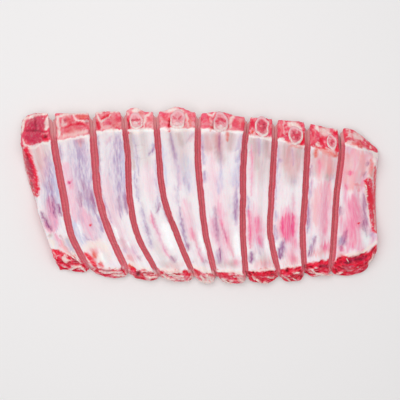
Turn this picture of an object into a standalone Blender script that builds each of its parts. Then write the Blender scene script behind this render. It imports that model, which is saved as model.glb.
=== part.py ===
# Raw pork spareribs: a rack cut between its ribs into ten slices, lying bone side up and kept together.
#
# Metres, +Z up. X runs along the rack, Y along the ribs, from the brisket end (-Y) to the chine end (+Y),
# where the saw has cut through the bones. The origin is under the middle of the rack, on what it lies on.
# Lengths below are in millimetres until a mesh is made.

import bmesh
import bpy
import numpy as np

MM = 0.001
SLICES = 10

# The rack's two outer sides with the nine knife cuts between them: X of each line at five places in Y.
CUT_STATIONS = (-67.0, -35.5, -4.0, 41.0, 72.5)
CUT_LINES = (
    (-128.2, -139.3, -150.0, -161.3, -161.2),
    (-99.9, -115.5, -121.5, -129.5, -133.3),
    (-66.1, -80.1, -90.0, -94.6, -96.5),
    (-39.6, -56.0, -62.5, -64.6, -68.5),
    (-7.4, -20.3, -31.4, -36.8, -39.3),
    (13.0, 5.5, 1.8, -1.8, -0.9),
    (41.3, 39.2, 39.1, 40.2, 43.9),
    (70.6, 63.9, 64.5, 67.1, 68.3),
    (94.7, 92.8, 94.7, 96.8, 97.6),
    (118.8, 121.2, 122.9, 127.7, 127.0),
    (160.5, 162.0, 161.2, 163.0, 163.0),
)

# Y of the rack's two long edges, by X.
CHINE_STATIONS = (
    -164.0, -160.5, -157.0, -150.0, -138.0, -112.0, -80.0, -45.0, -20.0,
    5.0, 35.0, 62.0, 95.0, 122.0, 137.0, 148.0, 155.0, 161.0,
)
CHINE_EDGE = (
    57.0, 68.8, 72.2, 75.6, 76.0, 76.0, 77.2, 76.8, 77.4,
    75.5, 72.8, 70.7, 67.6, 62.2, 61.4, 54.9, 49.3, 44.4,
)
BRISKET_STATIONS = (-127.0, -100.0, -60.0, 0.0, 50.0, 90.0, 106.0, 125.0, 141.0, 153.0, 161.0)
BRISKET_EDGE = (-66.2, -73.0, -77.0, -79.6, -80.6, -78.2, -74.6, -74.8, -73.0, -66.5, -52.0)

# How far each slice's brisket end falls back at its left and right corner.
BRISKET_CORNERS = (
    (-3.0, 3.0),
    (2.5, 3.0),
    (1.5, 2.0),
    (1.5, 3.0),
    (2.5, 2.5),
    (4.0, 0.0),
    (3.5, 3.5),
    (3.0, 1.0),
    (5.0, 0.5),
    (4.0, 0.0),
)

# The slab: its thickness along a rib, and how it curves up from the flat middle towards both ends.
FLAT_FROM = -42.0
FLAT_TO = 20.0
CHINE_CURL = 0.0055
BRISKET_CURL = 0.0040
THICK_STATIONS = (-75.0, -50.0, 0.0, 45.0, 62.0)
THICKNESS = (13.5, 16.5, 19.5, 19.5, 18.0)
BRISKET_SLANT = 9.0
EDGE_RADIUS = 4.0
RIDGE_HEIGHT = 1.6
RIDGE_HALF_WIDTH = 0.30

# How far each slice's sawn chine face leans back from its lower to its upper edge.
CHINE_SLANT = (26.0, 24.5, 19.5, 18.0, 17.2, 16.0, 19.3, 21.5, 22.2, 15.0)

# Half of a cut's width by depth below the face that shows, as a share of the thickness. Low down the slices
# nearly touch.
CUT_DEPTHS = (0.0, 0.22, 0.55, 1.0)
HALF_CUT = (2.5, 1.7, 0.3, 0.3)
WIDE_CUTS = (1, 2)
WIDE_CUT_EXTRA = 1.0

# The outermost slices' free sides slope, most where the lean shows: middle in Y, half length, slope inwards
# and how far the lower edge comes out.
FREE_SIDE_INSET = 0.5
LEFT_SLOPE = (18.0, 36.0, 8.0, 1.5)
RIGHT_SLOPE = (0.0, 42.0, 11.5, 0.0)

# Each slice's own height and sideways lean, as laid: the real slices were cut by hand.
SLICE_LIFT = (-1.2, 0.3, 0.0, 0.8, 0.3, 0.9, 0.2, 0.6, 0.0, -0.8)
SLICE_LEAN = (1.0, -0.6, 0.8, 0.4, -0.5, 0.6, -0.4, 0.5, -0.6, -1.2)

# Ribs: where each bone crosses its slice's width at the chine end, its sawn ring's half width in mm and
# middle and half height as shares of the thickness, and at which share of the length the bone starts. The
# first three and the last start inside, so their sawn faces show no ring. From CENTRED_FROM on, a rib is
# mid-slice.
BONE_ACROSS = (0.52, 0.50, 0.50, 0.348, 0.51, 0.443, 0.545, 0.66, 0.762, 0.43)
RING_HALF_WIDTH = (6.4, 6.4, 6.4, 6.0, 6.7, 6.6, 6.7, 6.8, 4.3, 6.0)
RING_MIDDLE = (0.60, 0.60, 0.60, 0.61, 0.59, 0.56, 0.50, 0.62, 0.61, 0.60)
RING_HALF_HEIGHT = (0.36, 0.36, 0.36, 0.32, 0.35, 0.39, 0.39, 0.34, 0.27, 0.30)
BONE_STARTS = (0.15, 0.13, 0.12, 0.0, 0.0, 0.0, 0.0, 0.0, 0.0, 0.10)
CENTRED_FROM = 0.3

# Behind its ring, a rib's half width in mm, and its middle and half height as shares of the thickness.
BONE_STATIONS = (0.0, 0.16, 0.5, 1.0)
BONE_HALF_WIDTH = (6.3, 6.0, 7.2)
BONE_MIDDLE = (0.63, 0.66, 0.50)
BONE_HALF_HEIGHT = (0.26, 0.23, 0.25)
BONE_PROUD = 0.7
BLIND_END_TAPER = 0.6
MARROW_SHARE = 0.62
MARROW_DEPTH = 0.9
CLEARANCE = 0.3
BLIND_END_GAP = 1.2
CHANNEL_BEYOND = 6.0

# The meat swells up round each sawn rib and comes out below it: how much in mm, and how far across and along
# the slice, as shares.
RING_SWELL = 2.2
RING_BULGE = (0.0, 0.0, 0.0, 3.8, 4.0, 2.6, 0.3, 0.3, 0.0, 0.0)
RING_REACH = 0.40
RING_LENGTH = 0.13

# A slice's usual width, length and thickness, and the ways that its two sawn ends face.
SLAB_SIDES = np.array((27.0, 150.0, 18.0))
CHINE_OUTWARDS = np.array((0.0, 0.72, 0.69))
BRISKET_OUTWARDS = np.array((0.0, -0.83, 0.55))

# How finely the solids are divided.
COLUMNS = 4
LAYERS = 1
ROWS = 12
EDGE_STEP = 0.42
BONE_SIDES = 10
BONE_RINGS = 10
SHARP_FROM = 50.0


def clear_scene():
    for thing in list(bpy.data.objects):
        bpy.data.objects.remove(thing, do_unlink=True)


def smooth_curve(stations, values, at):
    """Value at `at` on a smooth curve through the given values, straight on beyond both ends."""
    stations = np.asarray(stations, float)
    values = np.asarray(values, float)
    slopes = np.gradient(values, stations)
    span = int(np.clip(np.searchsorted(stations, at) - 1, 0, len(stations) - 2))
    width = stations[span + 1] - stations[span]
    held = np.clip(at, stations[0], stations[-1])
    u = (held - stations[span]) / width
    start = (1 + 2 * u) * (1 - u) ** 2 * values[span] + u * (1 - u) ** 2 * width * slopes[span]
    end = u * u * (3 - 2 * u) * values[span + 1] + u * u * (u - 1) * width * slopes[span + 1]
    beyond = slopes[0] * min(at - stations[0], 0) + slopes[-1] * max(at - stations[-1], 0)
    return start + end + beyond


def bump(distance, half_length):
    """1 at no distance, falling smoothly to 0 at half_length."""
    share = min(abs(distance) / half_length, 1.0)
    return (1 - share * share) ** 2


def underside(y):
    """Height of the slab's lower face: flat in the middle, curling up towards both ends."""
    return CHINE_CURL * max(y - FLAT_TO, 0) ** 2 + BRISKET_CURL * max(FLAT_FROM - y, 0) ** 2


def cut_half_width(line, y, w, depth):
    """How far a slice stays from one of the eleven lines, at height share w and `depth` below its face."""
    inset = np.interp(depth, CUT_DEPTHS, HALF_CUT)
    if line in WIDE_CUTS:
        inset += WIDE_CUT_EXTRA / 2 * (1 - depth)
    if line in (0, SLICES):
        middle, half_length, slope, foot = LEFT_SLOPE if line == 0 else RIGHT_SLOPE
        inset = FREE_SIDE_INSET + (slope * w * w - foot * (1 - w)) * bump(y - middle, half_length)
    return inset


def rib_across(number, t):
    """Where a rib crosses its slice's width at share t of its length."""
    return 0.5 + (BONE_ACROSS[number] - 0.5) * max(1 - t / CENTRED_FROM, 0)


def slab_point(number, s, t, w):
    """Point of a slice from its shares across (s), from chine to brisket end (t) and up (w)."""
    reach = bump(s - BONE_ACROSS[number], RING_REACH) * (BONE_STARTS[number] == 0)
    near_chine = bump(t, RING_LENGTH) * reach
    x = smooth_curve(CUT_STATIONS, CUT_LINES[number], 0.0) + s * SLAB_SIDES[0]
    for _ in range(3):
        chine = smooth_curve(CHINE_STATIONS, CHINE_EDGE, x) - CHINE_SLANT[number] * w
        chine += RING_BULGE[number] * reach * (1 - w)
        brisket = smooth_curve(BRISKET_STATIONS, BRISKET_EDGE, x) + BRISKET_SLANT * w
        brisket += BRISKET_CORNERS[number][s > 0.5] * abs(2 * s - 1) ** 3
        y = chine + (brisket - chine) * t
        behind_ends = (chine - brisket) * min(t / CHINE_SLANT[number], (1 - t) / BRISKET_SLANT)
        depth = np.clip(min(1 - w, behind_ends), 0, 1)
        left = smooth_curve(CUT_STATIONS, CUT_LINES[number], y)
        left += cut_half_width(number, y, w, depth)
        right = smooth_curve(CUT_STATIONS, CUT_LINES[number + 1], y)
        right -= cut_half_width(number + 1, y, w, depth)
        x = left + (right - left) * s
    ridge = RIDGE_HEIGHT * bump(s - rib_across(number, t), RIDGE_HALF_WIDTH) + RING_SWELL * near_chine
    thick = smooth_curve(THICK_STATIONS, THICKNESS, y) + SLICE_LIFT[number]
    thick += SLICE_LEAN[number] * (2 * s - 1)
    return np.array((x, y, underside(y) + w * (thick + ridge)))


def rounded_shares(number, s, t, w):
    """The same shares after the slice's edges are rounded to EDGE_RADIUS."""
    point = np.array((s, t, w)) * SLAB_SIDES
    core = np.clip(point, EDGE_RADIUS, SLAB_SIDES - EDGE_RADIUS)
    out = point - core
    length = np.linalg.norm(out)
    if length > 0:
        point = core + out * EDGE_RADIUS / length
    return point / SLAB_SIDES


def divided(count, side, fine):
    """Shares along one side of a box: closer together within the rounded edges."""
    edge = EDGE_RADIUS / side
    ends = (0.0, EDGE_STEP * edge) if fine else (0.0,)
    middle = np.linspace(edge, 1 - edge, count + 1)
    return [*ends, *middle, *(1 - share for share in reversed(ends))]


def box_shell(bm, across, along, up, place):
    """Closed grid of quads over the six sides of a box whose points `place` puts in space."""
    count = (len(across) - 1, len(along) - 1, len(up) - 1)
    corners = {}

    def corner(*index):
        if index not in corners:
            shares = (across[index[0]], along[index[1]], up[index[2]])
            corners[index] = bm.verts.new(place(*shares))
        return corners[index]

    for axis in range(3):
        first, second = (axis + 1) % 3, (axis + 2) % 3
        for at in (0, count[axis]):
            for i in range(count[first]):
                for j in range(count[second]):
                    face = []
                    for a, b in ((i, j), (i + 1, j), (i + 1, j + 1), (i, j + 1)):
                        index = [0, 0, 0]
                        index[axis], index[first], index[second] = at, a, b
                        face.append(corner(*index))
                    bm.faces.new(face)
    bmesh.ops.recalc_face_normals(bm, faces=bm.faces)


def new_object(name, bm, material):
    mesh = bpy.data.meshes.new(name)
    bm.to_mesh(mesh)
    bm.free()
    mesh.shade_smooth()
    mesh.set_sharp_from_angle(angle=np.radians(SHARP_FROM))
    thing = bpy.data.objects.new(name, mesh)
    bpy.context.scene.collection.objects.link(thing)
    if material:
        mesh.materials.append(material)
    return thing


def make_slice(number, material):
    bm = bmesh.new()

    def place(s, t, w):
        return slab_point(number, *rounded_shares(number, s, t, w)) * MM

    box_shell(
        bm,
        divided(COLUMNS, SLAB_SIDES[0], fine=True),
        divided(ROWS, SLAB_SIDES[1], fine=False),
        divided(LAYERS, SLAB_SIDES[2], fine=False),
        place,
    )
    return new_object(f"slice_{number + 1:02d}", bm, material)


def bone_ring(number, t, grow):
    """Points round a rib at share t of its length, laid in the slab: its ends lie in the cut faces."""
    start = BONE_STARTS[number]
    across = rib_across(number, t)
    middle = smooth_curve(BONE_STATIONS, (RING_MIDDLE[number], *BONE_MIDDLE), t)
    taper = BLIND_END_TAPER if 0 < t <= start else 1.0
    half_width = taper * smooth_curve(BONE_STATIONS, (RING_HALF_WIDTH[number], *BONE_HALF_WIDTH), t) + grow
    half_height = taper * smooth_curve(BONE_STATIONS, (RING_HALF_HEIGHT[number], *BONE_HALF_HEIGHT), t)
    half_height += grow / SLAB_SIDES[2]
    left = slab_point(number, 0.0, t, middle)
    right = slab_point(number, 1.0, t, middle)
    half_share = half_width / (right[0] - left[0])
    points = []
    for corner in range(BONE_SIDES):
        angle = 2 * np.pi * corner / BONE_SIDES
        s = across + half_share * np.cos(angle)
        points.append(slab_point(number, s, t, middle + half_height * np.sin(angle)))
    return points


def bridge(bm, first, second):
    for a in range(len(first)):
        b = (a + 1) % len(first)
        bm.faces.new((first[a], first[b], second[b], second[a]))


def rib_tube(number, grow, beyond, marrow):
    """A rib as a closed tube, grown by `grow` and lengthened by `beyond`. `marrow` hollows its sawn end."""
    bm = bmesh.new()
    start = BONE_STARTS[number]
    sawn = start == 0
    chine_way = CHINE_OUTWARDS if sawn else np.array((0.0, 1.0, 0.0))
    rings = [bone_ring(number, share, grow) for share in np.linspace(start, 1.0, BONE_RINGS)]
    if sawn:
        rings[0] = [point + chine_way * BONE_PROUD for point in rings[0]]
    rings[-1] = [point + BRISKET_OUTWARDS * BONE_PROUD for point in rings[-1]]
    if beyond:
        rings.insert(0, [point + chine_way * (beyond if sawn else BLIND_END_GAP) for point in rings[0]])
        rings.append([point + BRISKET_OUTWARDS * beyond for point in rings[-1]])
    loops = [[bm.verts.new(point * MM) for point in ring] for ring in rings]
    for first, second in zip(loops, loops[1:]):
        bridge(bm, first, second)
    end_loop = loops[0]
    if marrow and sawn:
        centre = sum(rings[0]) / BONE_SIDES
        rim = [centre + (point - centre) * MARROW_SHARE for point in rings[0]]
        floor = [point - chine_way * MARROW_DEPTH for point in rim]
        rim_loop = [bm.verts.new(point * MM) for point in rim]
        end_loop = [bm.verts.new(point * MM) for point in floor]
        bridge(bm, loops[0], rim_loop)
        bridge(bm, rim_loop, end_loop)
    bm.faces.new(end_loop)
    bm.faces.new(loops[-1])
    bmesh.ops.recalc_face_normals(bm, faces=bm.faces)
    return bm


def make_bone(number, material):
    bm = rib_tube(number, 0.0, 0.0, marrow=True)
    return new_object(f"bone_{number + 1:02d}", bm, material)


def cut_channel(slice_object, number):
    """The channel that the rib lies in, a little wider than the rib."""
    bm = rib_tube(number, CLEARANCE, CHANNEL_BEYOND, marrow=False)
    cutter = new_object(f"channel_{number + 1:02d}", bm, None)
    cutter.hide_render = True
    cutter.display_type = "WIRE"
    channel = slice_object.modifiers.new("rib channel", "BOOLEAN")
    channel.operation = "DIFFERENCE"
    channel.solver = "EXACT"
    channel.object = cutter


def make_material(name, color, roughness):
    material = bpy.data.materials.new(name)
    material.use_nodes = True
    shader = material.node_tree.nodes["Principled BSDF"]
    shader.inputs["Base Color"].default_value = (*color, 1.0)
    shader.inputs["Roughness"].default_value = roughness
    shader.inputs["Metallic"].default_value = 0.0
    return material


def meat_material(number):
    """Raw pork under its pale membrane, a little pinker towards the right-hand slices."""
    blush = number / (SLICES - 1)
    return make_material(f"raw pork {number + 1}", (0.78, 0.52 - 0.10 * blush, 0.54 - 0.08 * blush), 0.38)


def bone_material(number):
    return make_material(f"rib bone {number + 1}", (0.80, 0.62, 0.56), 0.45)


def main():
    clear_scene()
    for number in range(SLICES):
        meat = make_slice(number, meat_material(number))
        cut_channel(meat, number)
        make_bone(number, bone_material(number))


main()
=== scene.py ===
# Dresses a sliced rack of raw spareribs that lies bone side up: pearly membrane over the ribs, sawn chine
# ends with their bone rings and lean, and torn lean, fat and cartilage along the brisket end.
import math

import bmesh
import bpy
import numpy as np
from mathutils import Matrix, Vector


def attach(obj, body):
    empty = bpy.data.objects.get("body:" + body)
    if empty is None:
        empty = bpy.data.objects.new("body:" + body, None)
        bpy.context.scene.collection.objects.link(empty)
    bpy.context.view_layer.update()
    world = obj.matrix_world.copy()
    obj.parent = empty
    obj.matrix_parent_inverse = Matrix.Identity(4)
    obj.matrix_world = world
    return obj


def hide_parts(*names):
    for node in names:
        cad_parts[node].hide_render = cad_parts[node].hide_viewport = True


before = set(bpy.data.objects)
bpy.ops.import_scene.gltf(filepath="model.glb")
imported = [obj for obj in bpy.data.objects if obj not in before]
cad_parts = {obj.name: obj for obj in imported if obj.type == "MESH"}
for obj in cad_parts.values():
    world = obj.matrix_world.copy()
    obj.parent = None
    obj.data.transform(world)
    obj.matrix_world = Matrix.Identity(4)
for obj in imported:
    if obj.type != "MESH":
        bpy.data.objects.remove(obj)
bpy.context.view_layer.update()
mm = 0.001
print("frame loaded:", len(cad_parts), "solids")

# The slab that the slices are cut from, in mm, as the solids have it.
rack = {
    "slices": 10,
    "cutStations": (-67.0, -35.5, -4.0, 41.0, 72.5),  # Y where each cut line's X is given
    "cutLines": (
        (-128.2, -139.3, -150.0, -161.3, -161.2),
        (-99.9, -115.5, -121.5, -129.5, -133.3),
        (-66.1, -80.1, -90.0, -94.6, -96.5),
        (-39.6, -56.0, -62.5, -64.6, -68.5),
        (-7.4, -20.3, -31.4, -36.8, -39.3),
        (13.0, 5.5, 1.8, -1.8, -0.9),
        (41.3, 39.2, 39.1, 40.2, 43.9),
        (70.6, 63.9, 64.5, 67.1, 68.3),
        (94.7, 92.8, 94.7, 96.8, 97.6),
        (118.8, 121.2, 122.9, 127.7, 127.0),
        (160.5, 162.0, 161.2, 163.0, 163.0),
    ),
    "chineStations": (-164.0, -160.5, -157.0, -150.0, -138.0, -112.0, -80.0, -45.0, -20.0, 5.0, 35.0, 62.0,
        95.0, 122.0, 137.0, 148.0, 155.0, 161.0),
    "chineEdge": (57.0, 68.8, 72.2, 75.6, 76.0, 76.0, 77.2, 76.8, 77.4, 75.5, 72.8, 70.7,
        67.6, 62.2, 61.4, 54.9, 49.3, 44.4),
    "brisketStations": (-127.0, -100.0, -60.0, 0.0, 50.0, 90.0, 106.0, 125.0, 141.0, 153.0, 161.0),
    "brisketEdge": (-66.2, -73.0, -77.0, -79.6, -80.6, -78.2, -74.6, -74.8, -73.0, -66.5, -52.0),
    "flat": (-42.0, 20.0),  # Y range that lies flat, with the curl beyond either end
    "curl": (0.0040, 0.0055),
    "thickStations": (-75.0, -50.0, 0.0, 45.0, 62.0),
    "thickness": (13.5, 16.5, 19.5, 19.5, 18.0),
    "chineSlant": (26.0, 24.5, 19.5, 18.0, 17.2, 16.0, 19.3, 21.5, 22.2, 15.0),
    "brisketSlant": 9.0,
    "corners": (  # how far the brisket end falls back at each slice's left and right
        (-3.0, 3.0), (2.5, 3.0), (1.5, 2.0), (1.5, 3.0), (2.5, 2.5),
        (4.0, 0.0), (3.5, 3.5), (3.0, 1.0), (5.0, 0.5), (4.0, 0.0),
    ),
    "cornerPower": 3,  # how late it falls back
    "halfCut": (0.06, 2.5),  # half a knife cut low down, where its sides lie together, and on top
    "cutDepth": 0.30,  # how far down it stays open, as a share of the thickness
    "wideCuts": {1: 1.0, 2: 1.0},  # how much more on top
    "freeInset": 0.5,  # of the free sides, from the first and the last cut line
    "leftSlope": (18.0, 36.0, 8.0, 1.5),  # the free side's middle, reach, slope inwards and foot outwards
    "rightSlope": (0.0, 42.0, 11.5, 0.0),
    "lift": (-1.2, 0.3, 0.0, 0.8, 0.3, 0.9, 0.2, 0.6, 0.0, -0.8),
    "lean": (1.0, -0.6, 0.8, 0.4, -0.5, 0.6, -0.4, 0.5, -0.6, -1.2),
    "boneAcross": (0.52, 0.50, 0.50, 0.348, 0.51, 0.443, 0.545, 0.66, 0.762, 0.43),
    "boneStart": (0.15, 0.13, 0.12, 0.0, 0.0, 0.0, 0.0, 0.0, 0.0, 0.10),
    "centredFrom": 0.3,  # share of the length from which a rib is mid-slice
    "ridge": (1.6, 0.30),  # height and half width of the swelling over a rib
    "ringSwell": (2.2, 0.13),  # more height over a bone ring, and the share of the length that it fades over
    "ringBulge": (0.0, 0.0, 0.0, 3.8, 4.0, 2.6, 0.3, 0.3, 0.0, 0.0),
    "ringReach": 0.4,  # share of the slice's width that swells with its ring, to either side
    "ringLean": 1.6,  # how much further back a bone ring leans than the cut face
    "rounds": 3,  # a point's X and Y are worked out from each other, this many times over
}

# A slice as a box whose shares are then laid in the slab.
block = {
    "sides": np.array((27.0, 150.0, 18.0)),
    "radii": np.array((1.0, 4.0, 2.2)),  # a knife leaves a tighter edge than the saw
    "cell": np.array((0.72, 0.80, 0.80)),
    "edgeSteps": (3, 5, 4),
    "patternStep": np.array((37.0, 61.0, 0.0)),  # mm, so that no two slices share their fibres
}


def smoothCurve(stations, values, at):  # cubic through the values, straight on past both ends
    stations, values, at = np.asarray(stations, float), np.asarray(values, float), np.asarray(at, float)
    slopes = np.gradient(values, stations)
    span = np.clip(np.searchsorted(stations, at) - 1, 0, len(stations) - 2)
    width = stations[span + 1] - stations[span]
    u = (np.clip(at, stations[0], stations[-1]) - stations[span]) / width
    start = (1 + 2 * u) * (1 - u) ** 2 * values[span] + u * (1 - u) ** 2 * width * slopes[span]
    end = u * u * (3 - 2 * u) * values[span + 1] + u * u * (u - 1) * width * slopes[span + 1]
    before = slopes[0] * np.minimum(at - stations[0], 0)
    return start + end + before + slopes[-1] * np.maximum(at - stations[-1], 0)


def bump(distance, reach):  # 1 at no distance, 0 from reach on
    return (1 - np.minimum(np.abs(distance) / reach, 1) ** 2) ** 2


def ramp(value, low, high):  # smooth step from 0 at low to 1 at high
    share = np.clip((value - low) / (high - low), 0, 1)
    return share * share * (3 - 2 * share)


def between(pair, share):  # from the pair's first value at 0 to its second at 1
    return pair[0] + (pair[1] - pair[0]) * share


def cutHalfWidth(line, y, w, depth):  # depth below the face that shows, as a share of the thickness
    closed, opened = rack["halfCut"]
    opened = opened + rack["wideCuts"].get(line, 0) / 2
    inset = between((closed, opened), np.sqrt(np.clip(1 - (depth / rack["cutDepth"]) ** 2, 0, 1)))
    if line in (0, rack["slices"]):
        middle, reach, slope, foot = rack["leftSlope" if line == 0 else "rightSlope"]
        inset = rack["freeInset"] + (slope * w * w - foot * (1 - w)) * bump(y - middle, reach)
    return inset


def ribAcross(number, t):  # where a rib crosses its slice's width
    return 0.5 + (rack["boneAcross"][number] - 0.5) * np.maximum(1 - t / rack["centredFrom"], 0)


def slabPoint(number, s, t, w):  # shares across, from chine to brisket, and up -> mm
    across = s - rack["boneAcross"][number]
    reach = bump(across, rack["ringReach"]) * (rack["boneStart"][number] == 0)
    x = smoothCurve(rack["cutStations"], rack["cutLines"][number], 0.0) + s * block["sides"][0]
    off = 2 * s - 1
    fallen = np.where(off < 0, *rack["corners"][number]) * np.abs(off) ** rack["cornerPower"]
    for turn in range(rack["rounds"]):
        chine = smoothCurve(rack["chineStations"], rack["chineEdge"], x) - rack["chineSlant"][number] * w
        chine = chine + reach * (rack["ringBulge"][number] * (1 - w) - rack["ringLean"] * w)
        brisket = smoothCurve(rack["brisketStations"], rack["brisketEdge"], x)
        brisket = brisket + rack["brisketSlant"] * w + fallen
        y = chine + (brisket - chine) * t
        ends = (chine - brisket) * np.minimum(t / rack["chineSlant"][number], (1 - t) / rack["brisketSlant"])
        depth = np.clip(np.minimum(1 - w, ends), 0, 1)
        left, right = (smoothCurve(rack["cutStations"], rack["cutLines"][n], y) for n in (number, number + 1))
        left = left + cutHalfWidth(number, y, w, depth)
        right = right - cutHalfWidth(number + 1, y, w, depth)
        x = left + (right - left) * s
    height, halfWidth = rack["ridge"]
    swell, fade = rack["ringSwell"]
    ridge = height * bump(s - ribAcross(number, t), halfWidth) + swell * bump(t, fade) * reach
    thick = smoothCurve(rack["thickStations"], rack["thickness"], y) + rack["lift"][number]
    thick = thick + rack["lean"][number] * off
    low, high = rack["flat"]
    curl = rack["curl"][0] * np.maximum(low - y, 0) ** 2 + rack["curl"][1] * np.maximum(y - high, 0) ** 2
    return np.stack((x, y, curl + w * (thick + ridge)), -1)


def roundedShares(shares):  # eases the box's edges to its radii
    place = shares * block["sides"]
    core = np.clip(place, block["radii"], block["sides"] - block["radii"])
    out = (place - core) / block["radii"]
    length = np.linalg.norm(out, axis=1, keepdims=True)
    return (core + out / np.maximum(length, 1e-9) * np.minimum(length, 1) * block["radii"]) / block["sides"]


def divided(axis):  # places along one side of the box, closer together on the rounded edges
    side, radius, cell = (float(block[key][axis]) for key in ("sides", "radii", "cell"))
    edge = np.linspace(0, radius, block["edgeSteps"][axis] + 1)[:-1]
    middle = np.linspace(radius, side - radius, round((side - 2 * radius) / cell) + 1)
    return np.concatenate((edge, middle, side - edge[::-1])) / side


def boxShell(across, along, up):  # shares of every point on a box's surface, and the quads that join them
    size = (len(across), len(along), len(up))
    grid = np.stack(np.meshgrid(across, along, up, indexing="ij"), -1)
    onShell = np.zeros(size, bool)
    for axis in range(3):
        layers = np.moveaxis(onShell, axis, 0)
        layers[0] = layers[-1] = True
    index = np.full(size, -1)
    index[onShell] = np.arange(onShell.sum())
    quads = []
    for axis in range(3):
        layers = np.moveaxis(index, axis, 0)
        for side in (0, -1):
            face = layers[side]
            quad = np.stack((face[:-1, :-1], face[1:, :-1], face[1:, 1:], face[:-1, 1:]), -1).reshape(-1, 4)
            if (side == 0) == (axis == 1):  # the slab runs its shares left-handed
                quad = quad[:, ::-1]
            quads.append(quad)
    return grid[onShell], np.concatenate(quads)


def pointNormals(points, quads):
    a, b, c, d = (points[quads[:, n]] for n in range(4))
    face = np.cross(c - a, d - b)
    normals = np.zeros_like(points)
    for n in range(4):
        np.add.at(normals, quads[:, n], face)
    return normals / np.maximum(np.linalg.norm(normals, axis=1, keepdims=True), 1e-9)


def waves(points, size, seed):  # smooth uneven field of about -1..1, its swells about `size` mm apart
    draw = np.random.default_rng(seed)
    count, shortest, longest, gain = 9, 0.7, 1.6, 0.7
    total = np.zeros(len(points))
    for n in range(count):
        way = draw.normal(size=points.shape[1])
        way *= 2 * math.pi / (size * draw.uniform(shortest, longest) * np.linalg.norm(way))
        total += np.sin(points @ way + draw.uniform(0, 2 * math.pi))
    return total * math.sqrt(2 / count) * gain


# The camera hangs straight over the rack, as the photo's did. Sizes in mm, the frame is 400 x 400 px.
camera = {
    "place": (0.45, -4.05, 1218.0),
    "lens": 120.0,
    "sensor": 36.0,
    "framePx": 400,
}
focal = camera["lens"] / camera["sensor"] * camera["framePx"]  # px


def seenAt(points):  # where the photo's frame shows each point, in px
    x, y, height = camera["place"]
    scale = focal / (height - points[:, 2])
    half = camera["framePx"] / 2
    return np.stack((half + (points[:, 0] - x) * scale, half - (points[:, 1] - y) * scale), -1)


# How a brush stroke runs out.
stroke = {
    "taper": 0.55,  # share of its width that is gone at both ends
    "bluntness": 0.6,  # lower is blunter
    "endFade": 0.5,  # half widths that a narrow stain's ends count as further off
    "wideFrom": 6.0,  # px, from which a stain along the fibres runs out in streaks
    "wideSpread": 1.2,  # and how much broader it then is
    "bleed": (0.45, 3.2),  # how strong a stain's faint surroundings are, and their px
}


def strokeShare(places, width, path, taper, fade=0.0):  # 0 on a stroke's middle line, 1 at its half width
    path = np.asarray(path, float)
    if len(path) == 1:
        return np.linalg.norm(places - path[0], axis=1) / (width / 2)
    lengths = np.linalg.norm(np.diff(path, axis=0), axis=1)
    before = np.concatenate(((0,), np.cumsum(lengths))) / lengths.sum()
    nearest = np.full(len(places), np.inf)
    for n, (start, run) in enumerate(zip(path[:-1], np.diff(path, axis=0))):
        share = np.clip((places - start) @ run / (run @ run), 0, 1)
        away = np.linalg.norm(places - start - share[:, None] * run, axis=1)
        along = between(before[n:n + 2], share)
        swell = np.sin(math.pi * along) ** stroke["bluntness"]
        half = width / 2 * (1 - taper + taper * swell)
        nearest = np.minimum(nearest, away / half + fade * (1 - swell))
    return nearest


# How each kind of mark fades at its edge: the share of its half width that is full, and where it ends.
tintEdges = {
    "beige": (0.0, 2.2),
    "lavender": (0.0, 2.2),
    "bluish": (0.0, 2.2),
    "blush": (0.0, 2.2),
    "rose": (0.0, 2.2),
    "magenta": (0.0, 2.2),
    "bruise": (0.0, 2.0),
    "lean": (0.6, 1.3),
    "flush": (0.2, 1.6),
    "fat": (0.3, 1.6),
    "crimson": (0.2, 1.6),
    "wine": (0.1, 1.7),
    "orange": (0.1, 1.7),
    "dark": (0.0, 1.8),
    "gleam": (0.0, 2.0),
}
alongFibres = ("lavender", "bluish", "blush", "rose", "magenta", "bruise", "gleam")
evenStrokes = ("lean", "flush", "beige")
hiddenBy = {  # what each kind hides of the tissue below it
    "lean": ("fat",),
    "crimson": ("fat",),
    "orange": ("fat",),
    "dark": ("fat",),
    "fat": ("crimson", "dark"),
}


def markShare(kind, strength, width, path, shaken, drawn):  # how strongly one mark shows at each point
    full, last = tintEdges[kind]
    if kind not in alongFibres:
        near = strokeShare(shaken, width, path, 0 if kind in evenStrokes else stroke["taper"])
        return strength * ramp(near, last, full)
    if width >= stroke["wideFrom"]:
        near = strokeShare(drawn, stroke["wideSpread"] * width, path, stroke["taper"])
    else:
        near = strokeShare(shaken, width, path, stroke["taper"], stroke["endFade"])
    share, reach = stroke["bleed"]
    return strength * np.maximum(ramp(near, last, full), share * ramp(near, last + 2 * reach / width, 0))


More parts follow.
